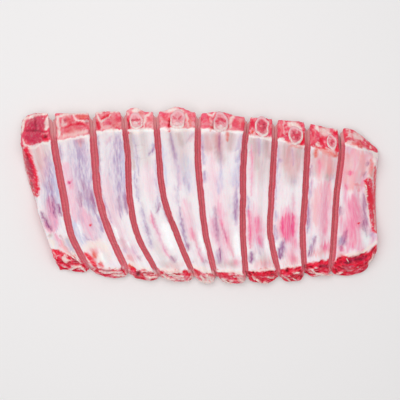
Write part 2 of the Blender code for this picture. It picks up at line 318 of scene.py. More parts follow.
# What each slice shows, chine end first, in px of the photo's 400 x 400 frame. start and end are where its
# membrane begins and stops at the left and right cut. flush is how red its lean is, edge how raw its torn
# end, blush how pink its membrane, mottle how spotted its lean and fringe how white its first edge, with
# a painted highlight on it. A mark is its kind, strength, width and the places that it runs through; the pure
# white marks are painted highlights, and the marks noted as painted shade stand for shade along the ribs and
# in a hole. marrow has those inside the bone ring.
sliceLooks = (
    {
        "start": (147.5, 140.5), "end": (248, 262),
        "flush": 0.95, "edge": 0.72, "blush": 0.05, "mottle": 0.25, "fringe": 0.15,
        "marks": (
            ("fat", 1.0, 3.2, (22.4, 133), (22.6, 124), (25.5, 119), (30.5, 116.6), (39, 114.8), (50, 113.2)),
            ("fat", 1.0, 4.4, (47.4, 117), (46.2, 130)),
            ("wine", 0.55, 20.0, (32, 124), (42, 124)),
            ("wine", 0.55, 15.0, (28, 137), (40, 138)),
            ("dark", 0.45, 2.2, (34.5, 118), (35.5, 125), (38, 131)),
            ("fat", 0.25, 2.0, (27, 124), (33, 119)),
            ("dark", 0.6, 2.6, (25, 131), (36, 130.2), (44, 132)),
            ("crimson", 0.9, 5.0, (43, 136), (47, 138.5)),
            ("crimson", 1.0, 4.0, (45, 138), (47.5, 141)),
            ("dark", 1.0, 3.4, (45.6, 136.4)),
            ("fat", 0.9, 2.6, (22.8, 140), (25, 145.6), (30, 148.2), (36, 147.4), (42, 142.4), (48, 143.6)),
            ("rose", 0.7, 5.0, (26, 147), (33, 153)),
            ("rose", 0.35, 12.0, (38, 147), (41, 180)),
            ("beige", 0.6, 8.0, (37, 151), (40, 166)),
            ("beige", 0.45, 10.0, (44, 146), (46, 158)),
            ("lean", 1.0, 10.0, (24.8, 151), (28, 160), (31.2, 170), (33.6, 180), (35, 192)),
            ("flush", 0.7, 11.0, (25, 150), (31, 170), (34, 193)),
            ("crimson", 0.9, 4.0, (26, 151), (28, 159)),
            ("wine", 0.7, 6.0, (27, 158), (30, 168), (32, 178)),
            ("crimson", 0.6, 3.0, (27, 153), (31, 166), (34, 178)),
            ("crimson", 0.9, 2.4, (28.5, 154), (33, 166), (36.4, 178), (36, 193)),
            ("wine", 0.6, 4.0, (30, 164), (32, 176)),
            ("dark", 0.6, 2.2, (31.4, 182), (33.2, 188)),
            ("dark", 0.5, 2.4, (26.5, 153), (27.5, 159)),
            ("lavender", 0.8, 5.0, (45.5, 157), (46, 170), (44.5, 182)),
            ("lavender", 0.72, 13.0, (48, 158), (50, 182), (55, 214)),
            ("lavender", 1.0, 8.0, (50.5, 172), (49, 187), (54, 203)),
            ("bruise", 0.45, 5.0, (50, 180), (51, 190)),
            ("bluish", 0.9, 4.0, (53, 160), (57, 185), (60, 205)),
            ("bruise", 0.9, 3.0, (52, 196), (54, 208), (55.5, 218)),
            ("blush", 0.9, 7.0, (49, 200), (52, 216), (54, 230)),
            ("lavender", 0.8, 7.0, (49, 198), (52, 214), (56, 228)),
            ("bruise", 0.9, 3.4, (57.5, 204), (61.5, 216)),
            ("bruise", 0.6, 2.6, (48.5, 196), (50.5, 212)),
            ("bruise", 1.0, 3.6, (40.5, 212), (46, 222.5), (51, 230)),
            ("magenta", 0.5, 4.0, (44, 222), (51, 233)),
            ("blush", 0.9, 3.0, (56, 214), (57, 223), (54, 232)),
            ("blush", 0.8, 5.0, (55, 234), (62, 247)),
            ("beige", 0.9, 1.6, (61, 236), (67, 249), (75, 259)),
            ("bluish", 0.9, 3.0, (66, 240), (73, 254)),
            ("rose", 0.9, 4.0, (60, 240), (65, 249), (71, 256)),
            ("beige", 0.8, 5.0, (67, 240), (73, 252)),
            ("beige", 0.8, 3.0, (50, 235.5)),
            ("fat", 0.9, 5.0, (50, 239), (54, 247)),
            ("lean", 1.0, 8.0, (70, 258), (79, 264)),
            ("crimson", 0.9, 4.0, (53, 250), (60, 253), (66, 255)),
            ("crimson", 1.0, 5.0, (55, 257), (61, 260), (69, 264.5)),
            ("fat", 0.9, 6.0, (64.8, 256), (66.2, 262.5)),
            ("fat", 0.7, 2.4, (66, 252.5), (71, 255.5), (75, 259)),
            ("fat", 0.6, 2.2, (53.6, 252), (56.6, 258.6)),
            ("dark", 0.45, 5.0, (72, 258), (78, 263)),
            ("fat", 0.95, 2.6, (72, 252), (76, 256.5), (80.5, 263.5)),
            ("crimson", 1.0, 4.6, (58.5, 267), (65, 270.5), (73, 270.5)),
            ("fat", 0.95, 2.8, (68, 270), (75, 267), (80.5, 266.5), (86.5, 272)),
            ("dark", 0.4, 2.4, (60, 272), (70, 274)),
        ),
    },
    {
        "start": (141, 135), "end": (267, 268.5),
        "flush": 0.34, "edge": 0.60, "blush": 0.10, "mottle": 0.42, "fringe": 0.75,
        "marks": (
            ("fat", 1.0, 2.8, (55.5, 117), (64, 114.8), (72, 113.6), (88, 113.4)),
            ("rose", 0.6, 6.0, (78, 138), (84, 141)),
            ("fat", 1.0, 3.4, (57, 117), (58.5, 126), (58.5, 137)),
            ("fat", 0.8, 2.4, (63, 118), (62.5, 126), (66, 123.5)),
            ("dark", 0.15, 36.0, (72, 125)),
            ("crimson", 0.8, 6.0, (65, 120.5), (72, 120.5)),
            ("wine", 0.7, 3.4, (65, 120.5)),
            ("wine", 0.6, 4.0, (86.5, 121.5)),
            ("fat", 1.0, 2.4, (73.5, 115), (76.5, 119.8), (82, 121.4), (88.5, 121)),
            ("orange", 0.95, 3.4, (77, 115.8), (82, 117), (89, 116.6)),
            ("crimson", 0.95, 2.0, (79, 118.8), (89, 119.2)),
            ("crimson", 0.9, 3.8, (64.5, 128), (71, 124.4), (80, 123.8), (89, 125.5)),
            ("orange", 0.35, 6.0, (64, 133), (72, 130), (80, 129)),
            ("fat", 0.6, 6.0, (64, 136), (77, 133), (87, 131.4)),
            ("crimson", 0.7, 3.2, (57, 128)),
            ("dark", 0.6, 3.0, (88.6, 132)),
            ("lavender", 0.8, 18.0, (78, 142), (82, 168), (90, 205)),
            ("lavender", 0.6, 9.0, (75, 141), (79, 150), (84, 165)),
            ("bruise", 0.35, 5.0, (81, 142)),
            ("lavender", 0.9, 7.0, (80, 160), (84, 178), (88, 200)),
            ("lavender", 0.8, 9.0, (82, 176), (86, 192), (90, 205)),
            ("bruise", 0.35, 5.0, (82, 180), (86, 192)),
            ("lavender", 0.6, 3.0, (59, 144), (62.5, 163)),
            ("bruise", 0.35, 2.0, (59.5, 147), (61.5, 160)),
            ("magenta", 1.0, 4.2, (67.6, 181), (70.2, 183.6)),
            ("bruise", 0.6, 2.0, (68, 182), (70, 183.4)),
            ("magenta", 0.6, 1.6, (71.5, 186)),
            ("blush", 0.55, 10.0, (65, 165), (69, 190), (76, 218)),
            ("bruise", 0.35, 4.0, (85, 186), (88, 200)),
            ("bruise", 0.85, 4.0, (90.5, 190), (93, 202), (95.5, 214)),
            ("bluish", 0.9, 3.0, (92, 204), (94, 216)),
            ("bruise", 0.8, 3.0, (79.5, 192), (81, 206)),
            ("lavender", 1.0, 5.0, (97, 214), (103, 232)),
            ("lavender", 0.5, 9.0, (91, 222), (97, 240)),
            ("lavender", 0.5, 8.0, (77, 200), (82, 224)),
            ("lavender", 0.45, 16.0, (90, 208), (97, 234)),
            ("blush", 0.7, 9.0, (83, 210), (89, 232)),
            ("bluish", 1.0, 7.0, (72, 218), (76, 230), (83, 242)),
            ("gleam", 0.9, 2.2, (77, 222), (83, 236)),
            ("crimson", 1.0, 2.6, (90, 225)),
            ("blush", 0.45, 12.0, (80, 208), (92, 237)),
            ("lavender", 0.8, 1.8, (83, 234), (88, 240.5), (98, 240)),
            ("fat", 0.8, 8.0, (85, 250), (90, 245), (98, 244), (105, 248), (110, 259)),
            ("rose", 0.8, 12.0, (90, 250), (100, 252)),
            ("fat", 0.9, 9.0, (99, 255), (104, 262)),
            ("gleam", 0.8, 4.0, (99, 250), (106, 262)),
            ("crimson", 0.8, 4.4, (98.5, 263), (103.5, 266.5)),
            ("crimson", 1.0, 7.0, (85, 254), (91, 260), (96.5, 267)),
            ("fat", 0.8, 1.6, (86, 257), (90, 262)),
            ("orange", 0.9, 4.5, (93, 252), (96, 258.5)),
            ("orange", 0.6, 3.0, (101, 262.5)),
            ("bluish", 0.8, 3.4, (108, 250), (109.5, 260)),
            ("crimson", 1.0, 4.4, (93, 268), (99.5, 272)),
            ("fat", 1.0, 2.6, (94.6, 268.7)),
            ("fat", 0.35, 3.4, (99, 268.2), (119, 269)),
            ("dark", 0.35, 1.8, (100, 270), (112, 270.5)),
            ("fat", 0.9, 2.2, (99, 271.3), (112.3, 272.4), (122.4, 271)),
            ("fat", 0.5, 3.6, (112.3, 274.5), (125.7, 275.5)),
        ),
    },
    {
        "start": (132.5, 130), "end": (264, 274),
        "flush": 0.34, "edge": 0.56, "blush": 0.06, "mottle": 0.38, "fringe": 0.60,
        "marks": (
            ("fat", 1.0, 2.6, (96.5, 112.5), (102, 113)),
            ("fat", 1.0, 2.6, (110, 112), (119.5, 111)),
            ("fat", 1.0, 2.6, (96.5, 113), (98.5, 119), (101.5, 122), (106, 118.5), (110.5, 114.5)),
            ("dark", 0.13, 30.0, (108, 122)),
            ("crimson", 0.9, 4.2, (102, 118.5), (108.5, 114)),
            ("crimson", 0.4, 6.0, (111, 117), (120, 120)),
            ("orange", 0.3, 10.0, (112, 124), (119, 126)),
            ("fat", 0.5, 4.6, (101, 128.4), (110, 127)),
            ("crimson", 0.9, 6.0, (97, 121.5), (98.5, 128.5)),
            ("dark", 0.5, 2.0, (96.5, 124)),
            ("fat", 0.5, 3.0, (101, 123), (104, 129)),
            ("fat", 1.0, 2.8, (96.5, 131.5), (103, 132.8), (110, 130.2), (122, 131)),
            # these two: painted shade along the slice's left edge
            ("lavender", 0.7, 3.0, (97.8, 136), (99, 160), (101, 195)),
            ("beige", 0.6, 2.6, (98, 138), (99.4, 170)),
            ("blush", 0.35, 3.5, (110, 137), (106, 144)),
            ("lavender", 0.5, 3.0, (112, 136), (106, 147)),
            ("lavender", 0.7, 5.0, (121, 133), (115, 142), (112, 151)),
            ("lavender", 0.9, 9.0, (121, 142), (118, 156), (119, 172)),
            ("lavender", 0.5, 16.0, (119, 138), (117, 165), (121, 205)),
            ("lavender", 0.5, 4.0, (111, 168), (110, 182)),
            ("lavender", 0.7, 7.0, (119, 196), (121, 214)),
            ("lavender", 0.9, 9.0, (121, 168), (120, 182), (125, 198)),
            ("bluish", 0.9, 3.0, (123, 150), (126, 188)),
            ("bruise", 0.5, 2.6, (118.5, 196), (120, 211)),
            ("bruise", 0.75, 4.0, (124.8, 194), (127.4, 214)),
            ("lavender", 0.8, 2.2, (102.5, 195), (107, 209), (112, 223)),
            ("blush", 0.35, 10.0, (105, 178), (112, 212), (122, 240)),
            ("gleam", 1.0, 2.8, (114, 227), (118.5, 239)),
            ("blush", 0.45, 9.0, (123, 241), (136, 258)),
            ("lavender", 0.6, 3.4, (123, 248), (126, 252.5)),
            ("beige", 0.4, 4.0, (121, 240), (125, 247)),
            ("lavender", 0.4, 4.0, (131, 246), (136, 254)),
            ("bruise", 0.4, 4.5, (138, 256), (141, 260)),
            ("rose", 0.7, 5.0, (127, 255), (133, 262)),
            ("gleam", 0.9, 2.2, (127, 241), (130.5, 247.5)),
            ("fat", 0.8, 4.0, (128, 261), (138, 267), (150, 269)),
            ("orange", 0.95, 3.4, (128, 264.5), (133.5, 267.5)),
            ("crimson", 1.0, 4.8, (131.5, 268), (135.5, 270.5)),
            ("crimson", 0.8, 4.0, (139.5, 273.5), (143, 276)),
            # a hole in the torn end, sunk a little by the carving and darkened with painted shade
            ("dark", 1.0, 4.4, (138.2, 274.2)),
            ("crimson", 1.0, 3.6, (135.5, 276.5), (143, 278.5)),
            ("fat", 0.75, 4.2, (141.8, 271.4), (150, 272), (156, 273)),
            ("fat", 0.65, 3.6, (143.8, 275.2), (150, 277.5), (157.6, 276.5)),
            ("dark", 0.7, 2.6, (151.4, 277.6)),
            ("crimson", 0.6, 2.2, (143, 272.5), (154, 273.5)),
        ),
    },
    {
        "start": (130, 130.5), "end": (269, 271),
        "flush": 0.16, "edge": 0.18, "blush": 0.02, "mottle": 0.35, "fringe": 1.00,
        "marrow": (
            ("red", 1.0, 3.2, (130.5, 120.5), (140.5, 119.6)),
            ("dark", 0.5, 1.8, (131, 120.5), (135, 120)),
            ("pale", 0.9, 3.0, (133.5, 123), (138, 122.6)),
            ("pale", 0.5, 4.0, (132, 126), (139, 126)),
        ),
        "marks": (
            ("fat", 0.95, 6.0, (133, 110.5), (139, 109.5)),
            ("orange", 0.6, 3.4, (139, 112.5), (143, 114)),
            ("fat", 0.7, 3.0, (126, 112), (129, 115)),
            ("fat", 0.9, 2.4, (151.5, 111), (146, 116.5), (143.6, 127)),
            ("crimson", 0.5, 6.0, (148, 118), (152, 121)),
            ("crimson", 1.0, 2.8, (128.4, 117), (128.8, 133.5)),
            ("crimson", 1.0, 4.4, (129.4, 125.5), (129.8, 131.5)),
            ("dark", 0.8, 1.8, (128.5, 121), (128.8, 129.5)),
            ("fat", 1.0, 4.2, (129, 130), (137, 132), (144, 129.6), (153, 129.8)),
            # these two: painted shade in the valley along the rib's left side, which the carving also sinks a
            # little
            ("lavender", 0.6, 2.8, (133, 135), (135, 150), (139, 176)),
            ("beige", 0.9, 3.4, (130.6, 133), (131.6, 150), (133.4, 168)),
            ("lavender", 0.8, 3.0, (134.6, 170), (138, 202)),
            ("beige", 0.35, 13.0, (142, 137), (147, 160)),
            # these three: painted shade of the membrane's fine wrinkles
            ("beige", 0.45, 1.5, (135, 146), (141, 145), (147, 146)),
            ("beige", 0.4, 1.5, (137, 151), (146, 150)),
            ("beige", 0.45, 1.5, (136, 157), (140, 158.5), (147, 157)),
            ("lavender", 1.0, 4.0, (149.5, 155.5), (153, 149), (156, 143)),
            ("bruise", 0.4, 2.6, (150, 155), (154, 148)),
            ("lavender", 0.6, 3.0, (156, 132), (157, 150)),
            ("lavender", 0.6, 3.4, (155, 160), (157, 185), (161, 200)),
            ("blush", 0.3, 9.0, (147, 165), (152, 200)),
            ("bruise", 0.6, 2.8, (157, 212), (160.3, 203)),
            ("lavender", 0.6, 4.0, (157.4, 196), (157.8, 214)),
            ("lavender", 0.75, 3.4, (140.5, 203), (144.5, 220), (148.4, 235), (151.6, 249)),
            ("bruise", 0.3, 2.0, (145.4, 224), (149, 238)),
            ("bruise", 0.6, 3.0, (163.4, 207), (168.4, 222)),
            ("blush", 1.0, 2.6, (151, 213), (152.5, 221), (158, 233), (165, 250), (170, 258)),
            ("magenta", 0.5, 2.0, (151, 214), (153.4, 224)),
            ("bruise", 0.3, 2.0, (151, 211), (158, 233), (166, 252)),
            ("gleam", 0.95, 8.0, (163, 225), (167, 236), (172, 249)),
            ("bruise", 0.6, 4.6, (171, 257), (175.5, 262)),
            ("beige", 0.5, 8.0, (163, 264), (176, 266)),
            ("rose", 0.3, 6.0, (168, 265), (182, 266)),
            ("gleam", 0.8, 4.4, (173, 231), (178, 242), (182.5, 253)),
            ("beige", 0.25, 10.0, (155, 246), (170, 262)),
            ("fat", 0.8, 3.6, (160, 269), (172, 270), (184, 272)),
            ("crimson", 1.0, 3.2, (160, 272), (163, 273.2)),
            ("fat", 1.0, 2.6, (163, 274.2), (166, 277.5), (171, 279.6)),
            ("fat", 0.9, 3.2, (165.2, 271.5), (170, 273), (176, 275.3)),
            ("fat", 0.5, 4.0, (174, 276), (183, 278.6)),
            ("crimson", 1.0, 5.4, (184.5, 270.5), (189.5, 275.5)),
            ("fat", 1.0, 2.6, (190.6, 276.6)),
            ("crimson", 0.5, 1.8, (172, 273.5), (181, 274.5)),
        ),
    },
    {
        "start": (128.5, 129), "end": (270.5, 273),
        "flush": 0.28, "edge": 0.16, "blush": 0.08, "mottle": 0.36, "fringe": 0.90,
        "marrow": (
            ("red", 0.7, 2.4, (173, 116.5), (176.5, 119)),
            ("red", 0.8, 2.2, (178, 119), (182, 115.5)),
            ("pale", 0.7, 5.0, (173, 124), (182, 124)),
            ("red", 0.4, 2.0, (176, 121), (181, 121)),
        ),
        "marks": (
            ("fat", 0.7, 2.6, (160.5, 111.5), (169, 111.8)),
            ("fat", 1.0, 5.0, (168, 111), (174, 109.6), (183, 111.5)),
            ("crimson", 0.6, 5.0, (163, 116), (167, 121)),
            ("crimson", 1.0, 2.6, (168.6, 118), (169.3, 132)),
            ("dark", 0.6, 1.6, (168.8, 120), (169.3, 128)),
            ("fat", 0.8, 2.2, (186.5, 113), (188, 126)),
            ("orange", 0.5, 4.0, (190, 117), (190, 127)),
            ("fat", 0.9, 3.0, (160, 129.5), (168, 129.5)),
            ("fat", 1.0, 3.6, (171, 129.8), (183, 130), (196, 128.8)),
            # these three: painted shade along the rib's edge
            ("lavender", 0.75, 4.2, (170.4, 134), (173, 148), (175.6, 160), (178, 176), (178.6, 190)),
            ("beige", 0.7, 4.0, (170, 134), (172, 146), (175, 158)),
            ("bruise", 0.28, 3.0, (171.4, 140), (175.2, 158)),
            ("beige", 0.4, 20.0, (177, 136), (184, 166)),
            ("lavender", 0.6, 3.0, (175, 185), (178, 206)),
            ("blush", 0.35, 2.6, (179, 165), (180.5, 190)),
            ("beige", 0.65, 8.0, (178, 135), (182, 144)),
            ("bruise", 0.35, 3.0, (186, 143), (191, 136), (195, 132)),
            ("rose", 0.5, 3.0, (190, 141), (195, 135)),
            ("bluish", 0.5, 12.0, (186, 160), (189, 190)),
            ("lavender", 0.75, 4.4, (185, 173), (185.4, 185)),
            ("lavender", 0.7, 3.4, (188.4, 181), (189, 190)),
            ("bluish", 0.8, 3.4, (162, 140), (167, 188)),
            ("lavender", 1.0, 3.0, (178, 205), (181, 220), (184, 235), (187, 248)),
            ("bruise", 0.35, 1.8, (181, 218), (186, 243)),
            ("bruise", 0.85, 3.0, (187, 242), (188.6, 251)),
            ("blush", 0.5, 8.0, (184, 200), (188, 216), (192, 236)),
            ("magenta", 0.5, 3.8, (191, 228), (194, 238), (197, 246)),
            ("blush", 0.9, 3.2, (197, 246), (203, 262)),
            ("bruise", 0.6, 4.4, (205.5, 262)),
            ("bruise", 0.3, 3.0, (193, 262)),
            ("gleam", 0.8, 5.0, (199, 232), (205, 252)),
            ("fat", 1.0, 5.6, (192, 267), (203, 269.4), (214, 273)),
            ("crimson", 1.0, 5.0, (192.5, 269.5), (199.8, 275.5)),
            ("fat", 1.0, 3.0, (200.5, 275.5), (205, 281)),
            ("fat", 0.4, 6.0, (206, 275.5), (216, 279.5)),
            ("fat", 0.85, 2.2, (200.4, 281.2), (211.2, 281.6)),
            ("crimson", 0.5, 1.8, (206, 273.2), (214, 275.5)),
        ),
    },
    {
        "start": (129, 132), "end": (270, 272),
        "flush": 0.50, "edge": 0.55, "blush": 0.14, "mottle": 0.25, "fringe": 0.80,
        "marrow": (
            ("red", 1.0, 4.4, (215.5, 121.6), (220, 119), (225.5, 121.6)),
            ("red", 0.8, 3.0, (217, 123.5), (218.6, 122)),
            ("pale", 1.0, 6.0, (221, 125.6), (221, 129)),
        ),
        "marks": (
            ("orange", 0.25, 13.0, (235, 123), (246, 124)),
            ("crimson", 0.3, 3.0, (243, 118), (245, 129)),
            ("crimson", 0.25, 2.0, (238, 119), (236, 128)),
            ("fat", 0.3, 2.2, (241, 118), (240, 128)),
            ("fat", 0.9, 3.4, (237, 114.5), (231.5, 118.5), (229.6, 128)),
            ("fat", 0.9, 2.4, (207, 113), (212, 116.5), (214, 113)),
            ("fat", 0.8, 2.0, (209, 118), (212, 122), (210, 126)),
            ("crimson", 0.8, 2.4, (208, 116), (209, 122)),
            ("dark", 0.55, 1.6, (212.6, 118), (212.6, 128)),
            ("orange", 0.8, 2.6, (211, 125), (210.4, 131.5)),
            ("fat", 1.0, 3.4, (201, 130), (209, 129.4)),
            ("fat", 0.9, 3.0, (230, 131), (244, 132.4)),
            ("orange", 0.9, 3.4, (227, 131), (227.5, 141)),
            # painted shade along the rib under the ring
            ("bruise", 0.65, 3.2, (219.5, 132), (219.7, 148), (220.5, 159)),
            ("lavender", 0.6, 2.6, (220.5, 158), (221, 172)),
            ("beige", 0.9, 8.0, (215, 136), (221, 158)),
            ("beige", 0.8, 7.0, (207, 137), (210, 148)),
            ("rose", 0.3, 7.0, (207, 137), (211, 155)),
            ("rose", 0.45, 8.0, (218, 134), (220, 150)),
            ("beige", 0.7, 7.0, (231, 135), (229, 148)),
            ("lavender", 0.7, 5.0, (244, 133), (240, 142), (235, 151)),
            ("lavender", 0.9, 4.6, (243, 148), (237, 162)),
            ("lavender", 0.8, 5.4, (240.5, 164), (238.4, 178), (236.4, 192)),
            ("bluish", 0.7, 6.0, (238, 158), (235.6, 172), (234, 186)),
            ("bruise", 0.3, 4.0, (243, 146), (240, 152)),
            ("lavender", 1.0, 5.0, (237, 188), (235.6, 206), (235.8, 224)),
            ("bruise", 0.6, 3.4, (236.5, 200), (236, 220)),
            ("lavender", 0.7, 3.4, (202, 135), (203.5, 165)),
            ("bruise", 0.5, 2.4, (203, 147)),
            ("lavender", 1.0, 3.4, (204.5, 171), (203.5, 183)),
            ("bluish", 1.0, 5.4, (221, 170), (219, 194)),
            ("bruise", 0.7, 2.2, (215, 207), (216, 225), (218, 241)),
            ("lavender", 0.55, 4.0, (213, 208), (215.4, 228), (220, 248)),
            ("blush", 0.7, 7.0, (212, 218), (220, 250)),
            ("lavender", 0.8, 5.0, (218, 250), (219, 264)),
            ("blush", 0.5, 6.0, (221, 236), (226, 263)),
            ("bruise", 0.9, 2.4, (219.5, 248), (220, 262)),
            ("blush", 0.4, 11.0, (212, 158), (214, 182), (222, 215), (228, 240)),
            ("blush", 0.8, 6.0, (219, 205), (222, 224)),
            ("magenta", 0.6, 4.0, (220.4, 220), (224, 231), (228.4, 244), (234, 257)),
            ("bruise", 0.4, 2.0, (222, 226), (227, 241)),
            ("magenta", 0.5, 5.0, (236, 262.5)),
            ("gleam", 0.95, 8.0, (236, 234), (240, 256)),
            ("gleam", 0.5, 2.0, (205, 224), (210, 246)),
            ("beige", 0.7, 6.0, (216, 263), (236, 264)),
            ("fat", 1.0, 3.8, (217, 270), (233, 271.5), (246, 274)),
            ("crimson", 0.9, 4.4, (218.5, 273.6), (225, 275), (231.5, 277)),
            ("crimson", 1.0, 3.8, (231.5, 277.2), (239, 279.5)),
            ("fat", 1.0, 3.6, (222.4, 278), (227, 281.4), (232, 283.6)),
            ("crimson", 0.8, 1.2, (225, 279.8), (230.5, 282.8)),
            ("fat", 0.8, 6.0, (237, 277), (246, 281)),
        ),
    },
    {
        "start": (135, 139.4), "end": (271, 269),
        "flush": 0.66, "edge": 0.88, "blush": 0.16, "mottle": 0.60, "fringe": 0.70,
        "marrow": (
            ("red", 1.0, 17.0, (262, 121.5), (262.6, 130)),
            ("dark", 0.8, 2.0, (259, 122)),
            ("dark", 0.8, 2.2, (263.8, 124.6)),
            ("dark", 0.9, 2.4, (264.6, 127.4)),
            ("pale", 0.5, 1.8, (261, 126)),
            ("pale", 0.4, 1.8, (265, 131)),
        ),
        "marks": (
            ("crimson", 0.45, 4.6, (252, 119.5), (252.5, 127)),
            ("fat", 0.55, 4.0, (250.4, 132), (255.4, 135.6)),
            ("crimson", 0.25, 4.0, (271, 120), (271, 134)),
            ("fat", 0.3, 2.0, (269, 119), (268.6, 133)),
            ("fat", 1.0, 2.6, (251, 116.6), (257, 115)),
            ("fat", 0.9, 3.4, (262, 138.4), (273, 139)),
            ("fat", 0.8, 3.4, (252, 118), (257, 115.6), (263, 115.4)),
            ("fat", 0.9, 2.6, (252, 116), (256, 114.5)),
            ("orange", 0.9, 2.6, (252, 131), (252.5, 134)),
            ("beige", 0.9, 11.0, (255, 140), (256, 151)),
            ("beige", 0.75, 11.0, (256, 150), (257, 166)),
            ("rose", 0.6, 8.0, (256, 266.5), (272, 264)),
            ("beige", 0.5, 9.0, (255, 257), (270, 262)),
            ("beige", 0.6, 7.0, (262, 141), (262, 164)),
            ("beige", 0.9, 9.0, (267, 144), (268, 156)),
            ("beige", 0.5, 20.0, (261, 146), (262, 172)),
            # painted shade in the valley beside the rib, which the carving also sinks a little
            ("lavender", 0.6, 4.0, (259, 138), (259.7, 156)),
            ("blush", 0.9, 2.6, (251.3, 145), (252, 165), (251.5, 196)),
            ("magenta", 0.4, 2.0, (251.3, 150), (252, 164)),
            ("magenta", 0.8, 3.6, (249, 210), (250, 232), (250.6, 248)),
            ("magenta", 0.5, 5.0, (257.5, 216), (257.2, 234)),
            ("blush", 0.9, 10.0, (255.6, 218), (259, 242)),
            ("blush", 0.5, 10.0, (255, 206), (256, 224)),
            ("lavender", 0.7, 3.4, (248, 196), (248.4, 216)),
            ("lavender", 0.5, 6.0, (256, 236), (261, 252)),
            ("magenta", 0.6, 2.6, (258, 236), (262.5, 248)),
            ("lavender", 0.7, 5.0, (252, 252), (251, 263)),
            ("bruise", 1.0, 2.8, (251.8, 253), (251.3, 263)),
            ("gleam", 0.8, 4.0, (267, 238), (270, 252)),
            ("gleam", 0.8, 3.4, (256, 254), (256.5, 260)),
            ("lavender", 0.5, 4.4, (266, 261), (267, 267)),
            ("fat", 0.9, 3.0, (252, 271), (262, 270.5), (274, 268.5)),
            ("crimson", 1.0, 3.4, (249.5, 273.5), (256, 273.3), (263, 275)),
            ("fat", 0.9, 3.4, (252.6, 276.2), (257, 279.5), (261.5, 283)),
            ("crimson", 1.0, 3.0, (264, 276.5), (266, 274), (272, 273.6), (276.5, 276)),
            ("crimson", 0.8, 3.0, (256, 277), (262, 279.5), (270, 280)),
            ("fat", 0.5, 3.0, (267, 277), (274, 278)),
            ("fat", 0.95, 2.6, (263.8, 281.3), (268.4, 283.9)),
        ),
    },
    {
        "start": (139, 147), "end": (269, 266),
        "flush": 0.68, "edge": 1.00, "blush": 0.14, "mottle": 0.62, "fringe": 0.70,
        "marrow": (
            ("red", 1.0, 15.0, (294.5, 132.5), (297.5, 138.5)),
            ("dark", 0.7, 2.4, (293.6, 133)),
            ("dark", 0.6, 2.0, (297.6, 138.6)),
            ("pale", 0.6, 2.2, (296.6, 132.4)),
            ("pale", 0.5, 2.0, (293.6, 137.5)),
        ),
        "marks": (
            ("crimson", 0.5, 6.0, (281, 125), (281.4, 136)),
            ("fat", 0.3, 1.8, (279, 123), (281.6, 130), (280, 136)),
            ("fat", 0.25, 3.0, (279.5, 124), (283, 131)),
            ("fat", 0.9, 6.0, (288, 124), (295, 125), (301, 129)),
            ("fat", 0.6, 1.6, (285, 119), (283, 127), (284.5, 135)),
            ("crimson", 1.0, 4.6, (303, 133), (303.4, 140), (301, 145)),
            ("orange", 0.9, 3.2, (286.5, 139.5), (288.5, 143)),
            ("crimson", 0.5, 2.6, (288, 142), (297, 146)),
            ("orange", 0.6, 3.4, (291, 145.5), (303, 147.5)),
            ("fat", 1.0, 3.2, (279.5, 138.8), (284.5, 139.2)),
            ("beige", 0.95, 12.0, (286, 147), (288, 162)),
            ("lavender", 0.8, 3.0, (278.4, 146), (277, 172), (275.6, 200)),
            ("lavender", 0.6, 3.0, (275, 203), (276, 222)),
            ("beige", 0.75, 14.0, (289, 160), (292, 176)),
            ("rose", 0.5, 9.0, (286, 262), (299, 260)),
            ("beige", 0.95, 9.0, (299, 151), (299, 168)),
            ("rose", 0.32, 14.0, (290, 149), (294, 172)),
            ("lavender", 0.6, 4.0, (292.3, 149), (293, 166)),
            ("lavender", 0.9, 3.2, (279.8, 159), (279.6, 163.5)),
            ("lavender", 0.5, 4.4, (294, 181)),
            ("magenta", 1.0, 5.0, (282.8, 217), (282.4, 226), (284, 238)),
            ("magenta", 0.95, 5.0, (293, 214), (293, 236)),
            ("blush", 0.6, 4.4, (293.4, 194), (293, 216)),
            ("magenta", 0.75, 10.0, (287, 217), (288, 238)),
            ("blush", 0.85, 13.0, (288, 209), (290, 242)),
            ("blush", 0.8, 8.0, (293, 238), (293, 262)),
            ("magenta", 0.35, 6.0, (294, 240), (293, 260)),
            ("lavender", 1.0, 4.4, (275, 226), (275, 241)),
            ("lavender", 1.0, 5.0, (283.5, 241), (281.5, 250), (279.5, 257)),
            ("bruise", 0.8, 1.8, (284.4, 239), (282.4, 248), (283, 252), (280.5, 257.5)),
            ("bruise", 0.8, 1.8, (281.5, 246), (279, 252), (278, 258)),
            ("bruise", 1.0, 4.0, (281.4, 253), (280.2, 259)),
            ("gleam", 0.7, 4.0, (276, 243), (277, 249)),
            ("gleam", 0.5, 5.0, (290, 243), (297, 256)),
            ("fat", 0.7, 3.0, (281, 268.5), (292, 266.5), (302, 265.5)),
            ("crimson", 1.0, 5.0, (281, 270), (289, 271)),
            ("dark", 1.0, 3.2, (286.7, 270.6)),
            ("crimson", 0.7, 4.4, (290, 270), (302, 272.6)),
            ("fat", 0.35, 3.0, (293, 273.4), (300, 272.6)),
            ("fat", 0.9, 2.2, (282.7, 274.4), (286, 278), (290.8, 281.3)),
            ("fat", 0.6, 1.8, (288, 275.3), (292, 277.3), (296.6, 280.6)),
            ("crimson", 0.9, 3.0, (290, 275.6), (297, 279)),
            ("crimson", 1.0, 5.0, (296.5, 275.6), (303.4, 278.7)),
        ),
    },
    {
        "start": (146.5, 152), "end": (264, 259.6),
        "flush": 0.68, "edge": 0.92, "blush": 0.22, "mottle": 0.68, "fringe": 0.15,
        "marrow": (
            ("red", 1.0, 4.6, (332.4, 140), (331.8, 144.5)),
            ("dark", 0.6, 1.8, (331.8, 143)),
        ),
        "marks": (
            ("fat", 0.85, 11.0, (321, 130), (329, 133.4)),
            ("fat", 1.0, 4.0, (315.6, 126), (318.4, 131)),
            ("crimson", 0.5, 6.0, (313, 132), (314, 142)),
            ("fat", 0.3, 1.8, (312, 128), (315, 133), (313, 140)),
            ("crimson", 0.6, 4.0, (320, 138), (328, 139)),
